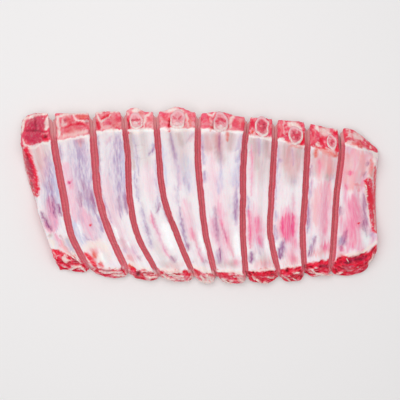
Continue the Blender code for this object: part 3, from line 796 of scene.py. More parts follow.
            ("fat", 1.0, 4.0, (335, 127), (335.4, 131)),
            ("crimson", 1.0, 4.0, (334.4, 132), (336, 135)),
            ("fat", 1.0, 2.4, (325, 147), (331, 150.4), (337, 148)),
            ("fat", 0.9, 4.0, (315.5, 143.5), (319.5, 145.5)),
            ("crimson", 1.0, 3.6, (320, 139), (324.5, 146.5)),
            ("orange", 0.8, 6.0, (320, 148.5), (328, 152), (337, 156)),
            ("orange", 0.95, 4.8, (316, 147), (316, 157)),
            ("crimson", 0.8, 3.6, (335.6, 143), (337, 154)),
            ("rose", 0.8, 4.0, (333, 153), (337, 158)),
            ("beige", 1.0, 11.0, (324, 158), (329, 174)),
            ("beige", 0.7, 6.0, (314, 154), (315, 172)),
            ("rose", 0.5, 5.0, (315, 158), (316, 172)),
            ("rose", 0.75, 11.0, (323, 156), (331, 172)),
            ("rose", 0.5, 3.4, (320, 160), (321, 196)),
            ("rose", 0.7, 4.4, (318.4, 155), (319, 181)),
            ("blush", 0.5, 4.4, (319.5, 158), (319.5, 178)),
            ("magenta", 0.4, 3.0, (319.5, 160), (319.5, 172)),
            ("bruise", 0.6, 3.0, (311, 165), (310, 178)),
            ("lavender", 0.7, 4.0, (311, 180), (309.5, 201)),
            ("magenta", 0.4, 6.0, (327.5, 184), (326, 206), (324.6, 232)),
            ("rose", 0.5, 4.0, (330, 180), (329.6, 204)),
            ("blush", 0.6, 13.0, (322, 188), (323, 236)),
            ("rose", 0.6, 6.0, (313, 254), (329, 250.5)),
            ("rose", 0.45, 6.0, (316, 190), (315.6, 222)),
            ("magenta", 0.5, 4.6, (326, 214), (325, 235)),
            ("lavender", 1.0, 3.4, (308.6, 200), (308.2, 233)),
            ("bruise", 0.45, 1.8, (308, 206), (307.8, 230)),
            ("bruise", 0.9, 2.6, (309.6, 250), (308.6, 257)),
            ("lavender", 0.6, 2.4, (329.5, 181), (334, 176)),
            ("magenta", 0.85, 7.0, (325, 246)),
            ("lavender", 1.0, 4.5, (314.5, 235), (309.5, 250)),
            ("bruise", 0.75, 2.4, (316, 236), (313, 246), (310.5, 257)),
            ("gleam", 0.9, 1.6, (315, 234), (311.5, 239), (309, 246)),
            ("gleam", 0.6, 4.4, (317, 236), (320, 251)),
            ("crimson", 1.0, 4.6, (307.5, 266), (318, 263.8), (329, 262.2)),
            ("crimson", 0.8, 5.0, (323, 267.5), (331, 269.5)),
            ("dark", 0.5, 3.0, (321, 265.6), (329, 264.8)),
            ("wine", 0.6, 4.4, (319, 266), (330, 266)),
            ("fat", 0.5, 4.0, (309, 270), (312, 273.5)),
            ("fat", 0.95, 3.4, (312, 269.8), (316, 273), (321.5, 274.4), (333.5, 275.2)),
            ("crimson", 0.8, 1.6, (314, 271), (320, 272.6)),
            ("fat", 0.8, 2.2, (313.7, 275.6), (317.2, 274.6)),
        ),
    },
    {
        "start": (144.5, 153), "end": (259, 248),
        "flush": 0.50, "edge": 1.00, "blush": 0.60, "mottle": 0.80, "fringe": 0.60,
        "marks": (
            ("crimson", 0.5, 6.0, (344, 129), (346, 143)),
            ("fat", 0.7, 2.0, (349, 128), (350, 134), (347, 138)),
            ("fat", 0.7, 10.0, (354, 134), (361, 138.5)),
            ("fat", 0.7, 5.0, (347, 143), (355, 142.6)),
            ("orange", 0.5, 6.0, (353, 143), (363, 146)),
            ("fat", 1.0, 2.4, (369, 146), (371.5, 148)),
            ("rose", 0.85, 10.0, (348.6, 156), (350, 188)),
            ("rose", 0.5, 15.0, (353, 154), (354, 180)),
            ("beige", 0.45, 15.0, (352, 152), (356, 178)),
            ("rose", 0.7, 7.0, (356, 153), (366, 156)),
            ("rose", 0.8, 10.0, (362, 156), (363, 174)),
            ("rose", 0.6, 6.0, (370.5, 153), (371, 180)),
            ("rose", 0.7, 2.4, (344, 185), (352, 183.5), (362, 185), (367, 183)),
            ("fat", 0.7, 2.4, (348, 127), (356, 130), (366, 137)),
            ("crimson", 0.5, 4.0, (357, 142.5), (364, 146)),
            ("crimson", 0.9, 8.0, (368, 143.5), (372, 148.5)),
            ("fat", 1.0, 3.0, (370.5, 147)),
            ("crimson", 0.9, 3.0, (375, 149), (378, 152)),
            ("fat", 0.9, 3.2, (344, 145.5), (349, 143.5)),
            ("fat", 0.7, 3.4, (352, 145.5), (362, 149.5)),
            ("fat", 1.0, 4.4, (373.5, 153), (377, 157)),
            ("magenta", 0.9, 3.6, (349.9, 170), (350, 175)),
            ("magenta", 0.45, 5.0, (358, 190), (358, 236)),
            ("fat", 0.6, 1.6, (370, 190), (371, 196)),
            ("fat", 0.5, 1.4, (371, 209), (372.4, 216)),
            ("magenta", 0.55, 12.0, (354, 198), (354, 234)),
            ("magenta", 0.6, 6.0, (353, 226), (352, 246)),
            ("magenta", 0.6, 4.0, (347, 226), (345.4, 240)),
            ("magenta", 0.7, 4.0, (340.4, 251), (343.4, 247)),
            ("crimson", 0.35, 3.0, (357, 183), (358.4, 191)),
            ("blush", 0.9, 8.0, (347, 247), (355, 246)),
            ("magenta", 0.7, 2.4, (345, 184), (348, 189.5)),
            ("bruise", 0.7, 1.8, (367.3, 166), (368, 161.5)),
            ("bruise", 0.6, 1.8, (364, 176.5), (366.2, 171)),
            ("fat", 0.8, 4.4, (374.5, 158), (375, 166), (371, 176), (367.5, 182)),
            ("orange", 0.6, 5.0, (371, 160), (371.4, 176)),
            ("lean", 1.0, 8.4, (367.8, 182), (371.4, 200), (373.4, 214), (375.5, 229)),
            ("flush", 1.0, 9.0, (367.5, 182), (371, 200), (375.5, 230)),
            ("lavender", 0.8, 4.4, (371.4, 229), (374, 240)),
            ("crimson", 1.0, 3.0, (375.4, 166), (375, 184), (375.4, 200)),
            ("crimson", 1.0, 5.0, (368, 186), (371.5, 202), (373, 212)),
            ("fat", 1.0, 2.6, (365.3, 183), (366.2, 190), (366.8, 197)),
            ("crimson", 1.0, 3.0, (372, 206), (374, 218), (376.4, 232)),
            ("fat", 0.8, 1.6, (366.8, 197), (368, 210), (370.5, 227)),
            ("fat", 0.8, 1.6, (373.4, 205), (375.4, 232)),
            ("bruise", 0.75, 4.4, (364, 194), (365, 214), (367, 230)),
            ("bruise", 0.9, 3.4, (363.4, 220), (366.2, 237)),
            ("magenta", 0.5, 6.0, (355.6, 206), (356, 228)),
            ("blush", 0.8, 12.0, (353, 204), (353, 236)),
            ("magenta", 0.25, 7.0, (351, 198), (352, 237)),
            ("crimson", 1.0, 1.8, (357, 223.5), (360, 223.3)),
            ("bruise", 0.8, 3.4, (341, 206), (339.5, 216)),
            ("lavender", 1.0, 4.6, (343.5, 236), (340.5, 247)),
            ("bruise", 0.95, 1.8, (346.4, 231), (344.4, 242), (341, 250)),
            ("bruise", 0.5, 1.6, (343, 235), (340, 240), (338.3, 246)),
            ("gleam", 0.8, 5.0, (362, 229), (368, 244)),
            ("crimson", 0.6, 6.0, (362, 252), (366, 251.5)),
            ("fat", 1.0, 5.0, (346, 255.4), (356, 254.2), (363, 252)),
            ("fat", 1.0, 4.0, (363, 251.6), (370, 247), (377, 242.4)),
            ("rose", 0.8, 5.0, (341.6, 255.4)),
            ("crimson", 1.0, 7.0, (338, 260.5), (344.5, 257.5)),
            ("fat", 0.6, 1.6, (346.6, 258.4), (348.6, 262.4)),
            ("crimson", 1.0, 4.0, (346, 260), (356, 260.4), (366.3, 258.6)),
            ("dark", 0.8, 2.8, (345.5, 262.6), (350.5, 261.6)),
            ("dark", 0.7, 3.0, (355, 260.2), (363, 258.4)),
            ("dark", 0.5, 2.4, (339.5, 263.5), (342.5, 261)),
            ("crimson", 1.0, 2.2, (351, 263.4), (357, 262.6)),
            ("wine", 0.8, 6.0, (345, 262), (354, 259.6), (366, 257.6)),
            ("wine", 0.6, 5.0, (344, 268.5), (352, 266.5)),
            ("crimson", 1.0, 3.8, (364, 258.5), (369.7, 253.7), (377, 246.5)),
            ("fat", 0.3, 5.0, (340.5, 267), (353, 270)),
            ("crimson", 1.0, 5.0, (355, 265.5), (363, 267.5)),
            ("fat", 0.9, 2.4, (336.5, 273.6), (342.5, 272.8)),
            ("fat", 0.9, 2.6, (373.4, 254), (371.5, 259), (368.5, 263)),
            ("dark", 0.8, 2.6, (360.2, 274.5)),
            ("crimson", 1.0, 3.5, (373, 249.5), (376, 246.4), (379.6, 245.6)),
            ("crimson", 1.0, 3.2, (376, 246), (379.6, 249.6)),
            ("fat", 1.0, 2.8, (370, 247.6), (374, 244.4), (377.4, 241.6)),
        ),
    },
)

# Uneven fields: how strong each is, how far apart its swells are and its seed. The distance is in mm, but in
# streaks for blush, drift and ragged, and in radii of the ring for ribRim.
uneven = {
    "layerSlow": (0.05, 18, 1),
    "layerQuick": (0.025, 5, 2),
    "layerGaps": (1, 24, 3),
    "seams": (1, 15, 4),
    "edgeSlow": (0.45, 7, 0),
    "edgeQuick": (0.3, 2.6, 5),
    "tornEdge": (1.2, 6, 8),
    "flush": (0.22, 9, 11),
    "blush": (0.5, 1.6, 13),
    "drift": (0.9, 1.0, 14),
    "driftSlow": (0.5, 9, 15),
    "ragged": (2.6, 1.0, 16),  # px that a streak runs further or less far
    "redSpots": (1, 2.9, 17),
    "fatSpots": (1, 2.7, 18),
    "rawShreds": (0.42, 3.6, 19),
    "rawSpecks": (0.26, 2.3, 20),
    "bareSpecks": (1, 2.5, 21),
    "lobes": (0.5, 8, 50),
    "folds": (0.55, 8, 51),
    "knife": (0.45, 14, 52),
    "grain": (0.20, 3.2, 53),
    "ribRim": (0.09, 1.1, 700),
    "marrow": (0.35, 2.4, 800),
    "ribShell": (0.4, 6, 810),
    "ribMarks": (0.35, 3, 820),
}

# Which part of a slice is what, and how its tissues are laid on. A pair is where something starts and where
# it is whole.
tint = {
    "cutEdge": 0.03,  # share of a slice's width and length over which the face of a knife cut begins
    "cutRim": 0.04,  # share of its thickness that is still seen from above
    "shadeFrom": (0.08, 0.50),  # upward share of the normal that is seen from above: outside, in a cut
    "shadeOver": 0.2,
    "under": (-0.4, -0.7),  # and the share that is the meat side
    "chineEdge": 0.8,  # px over which the membrane begins, to either side
    "tornEdge": (1.2, 1.6),  # px over which it stops, before and after
    "tornFace": (0.93, 0.97),  # share of the length that is torn all the way down
    "streak": (2.3, 24.0),  # mm, breadth and length of the streaks that a wide stain runs out in
    "fatLayer": (0.9, 0.50, 0.06),  # on a free side: how strong, and its middle and half its height
    "layerGaps": (-0.5, 0.3),
    "seams": (0.8, 0.14),
    "underSkin": (0.90, 0.97),  # height of the fat under the membrane
    "underFat": 0.85,  # fat on the meat side
    # Painted light and shade in the knife cuts: lighter and less red low down, darker all over.
    "cutPaintedFill": (0.38, 0.85, 0.5),  # painted light: how much lighter a knife cut is low down, and where that starts
    "cutPaintedShade": 0.20,  # painted shade: how much darker all over
    "cutFlushPaintedPale": (0.20, 0.42),  # how red the knife cuts between slices are, low down and on top
    "cutFlushPaintedPaleFrom": 0.4,
    "redSpots": (0.1, 0.8),
    "fatSpots": (0.7, 0.45, 1.0),
    "shredStretch": (0.5, 1.0, 1.0),
    "bloody": (0.6, 0.95),  # rawness that shows as blood, as clots and as fat
    "clotted": (0.8, 1.2, 1.6),
    "fatty": (0.9, 0.12, -0.15),
    "fringe": (0.4, 1.9),  # px that the membrane's white first edge lies in, and half its width
    # painted highlight laid over the membrane's white first edge, as a share of it
    "fringePaintedHighlight": 0.7,
    "blushMiddle": 0.7,
    "covers": 0.9,  # how much of the tissue below a mark hides
    "bareRed": (0.9, -0.2, 0.5),  # flecks where a mark lays the lean bare
    "bareFat": (0.5, -0.6, -1.0),
}

# The shapes that go with the colours, in mm.
carve = {
    "ringCup": (2.4, 0.92, 1.04),  # depth inside a bone ring, and the ring shares between which it rises
    "cupReach": (0.06, 0.03),  # share of the slice's length over which it ends
    "ringMiddle": (0.60, 0.60, 0.60, 0.61, 0.59, 0.56, 0.47, 0.65, 0.61, 0.60),
    "ringHalfHeight": (0.36, 0.36, 0.36, 0.32, 0.36, 0.43, 0.42, 0.35, 0.27, 0.30),
    "ringHalfWidth": (6.4, 6.4, 6.4, 6.0, 6.7, 6.6, 6.7, 6.8, 4.3, 6.0),  # mm
    "seamDepth": 0.55,
    "clotDepth": 0.9,  # of the seams' depth
    "lobeSwell": 0.55,
    "sunkenMeat": 0.55,
    "swollenSkin": 0.35,
    "beigeSwell": 0.7,  # of the skin's swelling
    "fatSwell": 0.30,
    "foldStretch": (1.6, 1.0, 1.0),
    "shredHeight": 1.1,
    "redShred": 0.7,
    "cutRises": (0.75, 0.92),  # shares of the thickness between which a knife cut starts to wander
    "sideRises": (0.15, 0.6),
    "floorFrom": 1.5,
    "freeFrom": (0.05, 0.8),  # where the fine relief starts and is whole, above the floor
    "sideFree": (0.55, 0.15),  # shares of the thickness between which it fades out on the sides
    "cutFree": (0.92, 0.75),  # and in the knife cuts
}


def field(name, seed, over):
    strength, size, own = uneven[name]
    return strength * waves(over, size, seed + own)


def ringShare(number, shares):  # 0 in the middle of a slice's bone ring, 1 on its rim
    width = block["sides"][0]
    across = (shares[:, 0] - rack["boneAcross"][number]) * width / carve["ringHalfWidth"][number]
    return np.hypot(across, (shares[:, 2] - carve["ringMiddle"][number]) / carve["ringHalfHeight"][number])


def sideTissue(points, shares, seed):  # where fat shows on the free sides, which a knife has gone through
    layer = shares[:, 2] + field("layerSlow", seed, points) + field("layerQuick", seed, points)
    strength, middle, half = tint["fatLayer"]
    fat = strength * bump(layer - middle, half) * ramp(field("layerGaps", seed, points), *tint["layerGaps"])
    strength, half = tint["seams"]
    seams = strength * bump(field("seams", seed, points), half)
    return np.clip(fat + seams + ramp(layer, *tint["underSkin"]), 0, 1)


def findZones(number, points, normals, shares):  # how far each point is membrane, sawn, torn or knife-cut
    look = sliceLooks[number]
    seed = 100 * (number + 1)
    across, along, up = shares.T
    edge = tint["cutEdge"]
    inner = np.zeros(len(points))  # the knife cuts between slices
    if number > 0:
        inner = inner + ramp(across, edge, 0.0)
    if number < rack["slices"] - 1:
        inner = inner + ramp(across, 1 - edge, 1.0)
    inner = inner * ramp(along, 0.0, edge) * ramp(along, 1.0, 1 - edge)
    least = between(tint["shadeFrom"], inner)
    fromAbove = ramp(normals[:, 2], least, least + tint["shadeOver"])
    fromAbove = fromAbove * (1 - inner * ramp(up, 1.0, 1 - tint["cutRim"]))
    shift = [field("edgeSlow", seed + n, points) + field("edgeQuick", seed + n, points) for n in range(2)]
    shaken = seenAt(points) + np.stack(shift, -1)
    membraneFrom = between(look["start"], across)
    membraneTo = between(look["end"], across)
    chine = ramp(shaken[:, 1], membraneFrom + tint["chineEdge"], membraneFrom - tint["chineEdge"])
    before, after = tint["tornEdge"]
    torn = ramp(shaken[:, 1] + field("tornEdge", seed, points), membraneTo - before, membraneTo + after)
    side = 1 - fromAbove
    return {
        "shaken": shaken,
        "inner": inner,
        "fromAbove": fromAbove,
        "side": side,
        "under": ramp(normals[:, 2], *tint["under"]),
        "membraneFrom": membraneFrom,
        "chineBand": chine,
        "tornBand": torn,
        "torn": torn * np.maximum(fromAbove, ramp(along, *tint["tornFace"])),
        "cut": np.clip(np.maximum(chine, torn) * fromAbove + side, 0, 1),
    }


def paintTissues(number, points, shares, zones):  # lean, fat and blood before the marks
    look = sliceLooks[number]
    seed = 100 * (number + 1)
    inner, side, fromAbove = (zones[key] for key in ("inner", "side", "fromAbove"))
    paint = {kind: np.zeros(len(points)) for kind in tintEdges}
    paint["lean"] = zones["cut"]
    pale = np.maximum(sideTissue(points, shares, seed) * (1 - inner), tint["underFat"] * zones["under"])
    # painted light low down in a knife cut, against the shade there
    fillStrength, top, low = tint["cutPaintedFill"]
    paint["fat"] = side * np.maximum(pale, fillStrength * inner * ramp(shares[:, 2], top, low))
    # less red low down in a knife cut: painted light against the shade there
    deep = between(tint["cutFlushPaintedPale"], ramp(shares[:, 2], tint["cutFlushPaintedPaleFrom"], 1.0))
    paint["flush"] = look["flush"] + field("flush", seed, points)
    paint["flush"] = paint["flush"] * (1 - side * inner) + deep * side * inner
    # painted shade: the knife cuts between slices made darker all over
    paint["dark"] = tint["cutPaintedShade"] * side * inner
    mottled = look["mottle"] * zones["chineBand"] * fromAbove
    paint["crimson"] = mottled * ramp(field("redSpots", seed, points), *tint["redSpots"])
    strength, *ends = tint["fatSpots"]
    paint["fat"] = np.maximum(paint["fat"], strength * mottled * ramp(field("fatSpots", seed, points), *ends))
    # from fat through flesh to blood along the torn end
    torn = zones["tornBand"] * fromAbove
    rawness = look["edge"] + field("rawShreds", seed, points * tint["shredStretch"])
    rawness = rawness + field("rawSpecks", seed, points)
    paint["flush"] = between((paint["flush"], np.clip(rawness, 0, 1)), torn)
    paint["crimson"] = np.maximum(paint["crimson"], torn * ramp(rawness, *tint["bloody"]))
    strength, *ends = tint["clotted"]
    paint["dark"] = np.maximum(paint["dark"], strength * torn * ramp(rawness, *ends))
    strength, *ends = tint["fatty"]
    paint["fat"] = np.maximum(paint["fat"] * (1 - torn), strength * torn * ramp(rawness, *ends))
    place, half = tint["fringe"]
    fringe = look["fringe"] * bump(zones["shaken"][:, 1] - zones["membraneFrom"] - place, half) * fromAbove
    paint["fat"] = np.maximum(paint["fat"], fringe)
    # a painted highlight along the membrane's white first edge
    paint["gleam"] = tint["fringePaintedHighlight"] * fringe
    return paint


def paintSlice(number, points, shares, zones):  # how much of each tissue and stain every point shows
    look = sliceLooks[number]
    seed = 100 * (number + 1)
    paint = paintTissues(number, points, shares, zones)
    lengthwise = shares[:, :2] * block["sides"][:2] / tint["streak"]
    blush = tint["blushMiddle"] + field("blush", seed, lengthwise)
    paint["blush"] = look["blush"] * blush * (1 - zones["cut"])
    # along the fibres a wide stain runs out in streaks
    drawn = seenAt(points) + np.stack((field("drift", seed, lengthwise) + field("driftSlow", seed, points),
        field("ragged", seed, lengthwise)), -1)
    bare = np.zeros(len(points))
    for kind, strength, width, *path in look["marks"]:
        mark = markShare(kind, strength, width, path, zones["shaken"], drawn) * zones["fromAbove"]
        for below in hiddenBy.get(kind, ()):
            paint[below] = paint[below] * (1 - tint["covers"] * mark)
        if kind == "lean":
            bare = np.maximum(bare, mark)
        paint[kind] = np.maximum(paint[kind], mark)
    specks = field("bareSpecks", seed, points)
    for kind, key in (("crimson", "bareRed"), ("fat", "bareFat")):
        strength, *ends = tint[key]
        paint[kind] = np.maximum(paint[kind], strength * bare * ramp(specks, *ends))
    return {kind: np.clip(paint[kind], 0, 1) for kind in paint}


def carveSlice(number, points, normals, shares, paint, zones):  # moves each point along its normal
    seed = 100 * (number + 1)
    up = shares[:, 2]
    top = zones["fromAbove"] * (1 - zones["cut"])
    out = -carve["sunkenMeat"] * top * np.maximum(paint["lavender"], paint["bruise"])
    out += carve["swollenSkin"] * top * (paint["gleam"] + carve["beigeSwell"] * paint["beige"])
    lobes = zones["cut"] * zones["fromAbove"] * (1 - zones["torn"])
    out += carve["lobeSwell"] * lobes * (1 - paint["fat"]) * (0.5 + field("lobes", seed, points))
    out -= carve["seamDepth"] * lobes * (paint["crimson"] + carve["clotDepth"] * paint["dark"])
    out += carve["fatSwell"] * lobes * paint["fat"]
    folds = field("folds", seed, points / carve["foldStretch"])
    tornShreds = carve["shredHeight"] * (paint["fat"] - carve["redShred"] * paint["crimson"] - paint["dark"])
    out += zones["torn"] * (folds + tornShreds * zones["fromAbove"])
    # low down a knife cut's two sides lie together, so they keep their shape
    rising = np.where(zones["inner"] > 0.5, ramp(up, *carve["cutRises"]), ramp(up, *carve["sideRises"]))
    out += field("knife", seed, points) * zones["side"] * rising
    out += field("grain", seed, points) * zones["cut"] * np.maximum(rising, zones["fromAbove"])
    # what lies on the floor stays there
    out *= 1 - zones["under"] * ramp(points[:, 2], carve["floorFrom"], 0.0)
    moved = points + normals * out[:, None]
    if rack["boneStart"][number] == 0:
        depth, inside, rim = carve["ringCup"]
        cup = ramp(ringShare(number, shares), rim, inside) * ramp(shares[:, 1], *carve["cupReach"])
        moved -= normals * (depth * cup)[:, None]
    moved[:, 2] = np.maximum(moved[:, 2], 0.0)
    return moved


def toMesh(name, points, faces, attributes=None):
    mesh = bpy.data.meshes.new(name)
    mesh.from_pydata((points * mm).tolist(), [], faces.tolist() if hasattr(faces, "tolist") else faces)
    for key, values in (attributes or {}).items():
        vector = values.ndim == 2
        layer = mesh.attributes.new(key, "FLOAT_VECTOR" if vector else "FLOAT", "POINT")
        layer.data.foreach_set("vector" if vector else "value", values.astype(np.float32).ravel())
    mesh.shade_smooth()
    thing = bpy.data.objects.new(name, mesh)
    bpy.context.scene.collection.objects.link(thing)
    return thing


def linear(code):  # sRGB hex -> linear RGBA
    parts = [int(code[n:n + 2], 16) / 255 for n in (1, 3, 5)]
    return tuple(c / 12.92 if c <= 0.04045 else ((c + 0.055) / 1.055) ** 2.4 for c in parts) + (1.0,)


# A link is named for its socket, or n and the socket's number. It holds a value, a node or a node's output.
def addNode(tree, kind, settings=None, **links):
    node = tree.nodes.new(kind)
    for key, value in (settings or {}).items():
        setattr(node, key, value)
    for key, value in links.items():
        socket = node.inputs[int(key[1:]) if key[0] == "n" and key[1:].isdigit() else key.replace("_", " ")]
        if isinstance(value, bpy.types.Node):
            value = next(output for output in value.outputs if output.enabled)
        if isinstance(value, bpy.types.NodeSocket):
            tree.links.new(value, socket)
        else:
            socket.default_value = value
    return node


def newMaterial(name):
    material = bpy.data.materials.new(name)
    material.use_nodes = True
    material.node_tree.nodes.clear()
    return material


def layOver(tree, below, layer, noise, noiseRange):  # one stain over a colour, broken up by a noise
    kind, code, strength, least, most = layer
    mask = addNode(tree, "ShaderNodeAttribute", {"attribute_name": kind}).outputs["Fac"]
    uneven = addNode(tree, "ShaderNodeMapRange", Value=noise, From_Min=noiseRange[0], From_Max=noiseRange[1],
        To_Min=strength * least, To_Max=strength * most)
    share = addNode(tree, "ShaderNodeMath", {"operation": "MULTIPLY", "use_clamp": True}, n0=mask, n1=uneven)
    return addNode(tree, "ShaderNodeMix", {"data_type": "RGBA"}, n0=share, n6=below, n7=linear(code))


def blend(tree, below, above, value, low, high, most=1.0):  # from one colour to another as a value goes up
    share = addNode(tree, "ShaderNodeMapRange", Value=value, From_Min=low, From_Max=high, To_Max=most)
    return addNode(tree, "ShaderNodeMix", {"data_type": "RGBA"}, n0=share, n6=below, n7=above)


# Raw pork, knife-cut and wet. The membrane is a thin pearly skin that takes its stains from the blood and the
# dark intercostal meat under it, though a few of its grey and purple lines are painted shade along the ribs
# and its pure white marks are painted highlights; lean and fat show through wherever the knife or the saw has
# gone.
porkFinish = {
    "fibres": {  # mm between the membrane's stripes, how long they are, and their slant in degrees
        "along": (1.3, 14.0, 0),
        "slanted": (1.69, 9.8, 32),
        "banded": (5.0, 45.0, 0),
    },
    "marbling": 2.6,  # mm between flecks of fat in the lean
    "cloud": 6.25,  # mm between drier and wetter places
    "membrane": "#F7F0F2",
    "stripes": (  # faint, even where the membrane is clean: which fibres, their range, colour and strength
        ("slanted", 0.52, 0.75, "#DACDE0", 0.26),
        ("along", 0.55, 0.78, "#F2D2D9", 0.24),
    ),
    "stains": (  # bottom to top: which fibres, kind, colour, strength, and the least and most that shows
        ("banded", "beige", "#CBB0AD", 0.90, 0.55, 1.2),
        ("slanted", "lavender", "#B9A2C6", 0.90, 0.4, 1.3),
        ("slanted", "bluish", "#C6CCE6", 0.75, 0.5, 1.2),
        ("along", "blush", "#F5A6C2", 0.95, 0.6, 1.15),
        ("banded", "rose", "#F8A3A8", 0.95, 0.5, 1.2),
        ("along", "magenta", "#F83C86", 0.95, 0.75, 1.1),
        ("along", "bruise", "#A04886", 0.92, 0.6, 1.2),
    ),
    "stainRange": (0.32, 0.62),
    "lean": ("#FAA9AF", "#FA647F", "#E23055"),  # pale, bright and deep
    "leanUneven": (-0.15, 0.15),
    "marbled": ("#FBC9CA", 0.55, 0.72, 0.55),
    "tissues": (
        ("fat", "#FBEAE4", 0.95),
        ("crimson", "#F00A36", 0.97),
        ("wine", "#A81C46", 0.90),
        ("orange", "#EE5540", 0.85),
        ("dark", "#5A0412", 0.95),
        # painted highlight: pure white where the wet membrane and fat glint
        ("gleam", "#FFFFFF", 0.75),
    ),
    "tissueRange": (0.35, 0.6),
    "tissueShows": (0.75, 1.15),
    "roughness": (0.26, 0.42),  # wetter and drier
    "coat": (0.1, 1.0),  # of the flesh, and of the membrane where the painted highlight lies
    "bump": 0.00035,
}


def porkMaterial():
    material = newMaterial("raw pork, knife-cut, under its membrane")
    tree = material.node_tree
    place = addNode(tree, "ShaderNodeAttribute", {"attribute_name": "place"}).outputs["Vector"]
    fibres = {}
    for name, (apart, length, slant) in porkFinish["fibres"].items():
        mapped = addNode(tree, "ShaderNodeMapping", {"vector_type": "POINT"}, Vector=place,
            Rotation=(0, 0, math.radians(slant)), Scale=(1 / apart, 1 / length, 1 / apart))
        fibres[name] = addNode(tree, "ShaderNodeTexNoise", Vector=mapped, Scale=1.0, Detail=3.0,
            Roughness=0.55)
    cloudy = addNode(tree, "ShaderNodeTexNoise", Vector=place, Scale=1 / porkFinish["cloud"], Detail=4.0,
        Roughness=0.6)
    fleck = addNode(tree, "ShaderNodeTexNoise", Vector=place, Scale=1 / porkFinish["marbling"], Detail=5.0,
        Roughness=0.62, Distortion=0.6)

    colour = linear(porkFinish["membrane"])
    for name, low, high, code, strength in porkFinish["stripes"]:
        colour = blend(tree, colour, linear(code), fibres[name], low, high, strength)
    for name, *stain in porkFinish["stains"]:
        colour = layOver(tree, colour, stain, fibres[name], porkFinish["stainRange"])
    pale, bright, deep = (linear(code) for code in porkFinish["lean"])
    low, high = porkFinish["leanUneven"]
    uneven = addNode(tree, "ShaderNodeMapRange", Value=fleck, From_Min=0.35, From_Max=0.65, To_Min=low,
        To_Max=high)
    flush = addNode(tree, "ShaderNodeAttribute", {"attribute_name": "flush"}).outputs["Fac"]
    redness = addNode(tree, "ShaderNodeMath", {"operation": "ADD", "use_clamp": True}, n0=flush, n1=uneven)
    lean = blend(tree, pale, bright, redness, 0.0, 0.5)
    lean = blend(tree, lean, deep, redness, 0.5, 1.0)
    code, low, high, strength = porkFinish["marbled"]
    lean = blend(tree, lean, linear(code), fleck, low, high, strength)
    opened = addNode(tree, "ShaderNodeAttribute", {"attribute_name": "lean"}).outputs["Fac"]
    colour = addNode(tree, "ShaderNodeMix", {"data_type": "RGBA"}, n0=opened, n6=colour, n7=lean)
    shows = porkFinish["tissueShows"]
    for tissue in porkFinish["tissues"]:
        colour = layOver(tree, colour, (*tissue, *shows), fleck, porkFinish["tissueRange"])

    wet, dry = porkFinish["roughness"]
    roughness = addNode(tree, "ShaderNodeMapRange", Value=cloudy, From_Min=0.35, From_Max=0.65, To_Min=wet,
        To_Max=dry)
    height = addNode(tree, "ShaderNodeMath", {"operation": "MULTIPLY"}, n0=fibres["along"], n1=0.6)
    for noise, strength in ((fleck, 0.5), (fibres["slanted"], 0.4)):
        height = addNode(tree, "ShaderNodeMath", {"operation": "MULTIPLY_ADD"}, n0=noise, n1=strength,
            n2=height)
    bumps = addNode(tree, "ShaderNodeBump", Height=height, Strength=0.6, Distance=porkFinish["bump"])
    # the painted highlight's mask also gives those places a fuller coat
    gleam = addNode(tree, "ShaderNodeAttribute", {"attribute_name": "gleam"}).outputs["Fac"]
    low, high = porkFinish["coat"]
    coat = addNode(tree, "ShaderNodeMapRange", Value=gleam, To_Min=low, To_Max=high)
    shader = addNode(tree, "ShaderNodeBsdfPrincipled", Base_Color=colour, Roughness=roughness, IOR=1.38,
        Normal=bumps, Subsurface_Weight=0.18, Subsurface_Radius=(1.0, 0.32, 0.25), Subsurface_Scale=0.0022,
        Coat_Weight=coat, Coat_Roughness=0.12, Specular_IOR_Level=0.3)
    addNode(tree, "ShaderNodeOutputMaterial", Surface=shader)
    return material


# Rib bone, sawn through. Its shell is dense and pale, and the marrow inside is a wet red sponge.
boneFinish = {
    "shell": ("#F8E6E0", "#EDB9C0"),  # clean and bloody
    "marrow": ("#F2A6AF", "#EC5470"),
    "tints": (("red", "#E0264E", 0.95), ("pale", "#FBE3E1", 0.90), ("dark", "#7A0F2A", 0.85)),
    "poreRange": (0.1, 0.7),
    "tintShows": (0.75, 1.0),
    "pore": 1.3,  # mm between the marrow's pores
    "blotch": 2.6,  # mm between its redder places
}


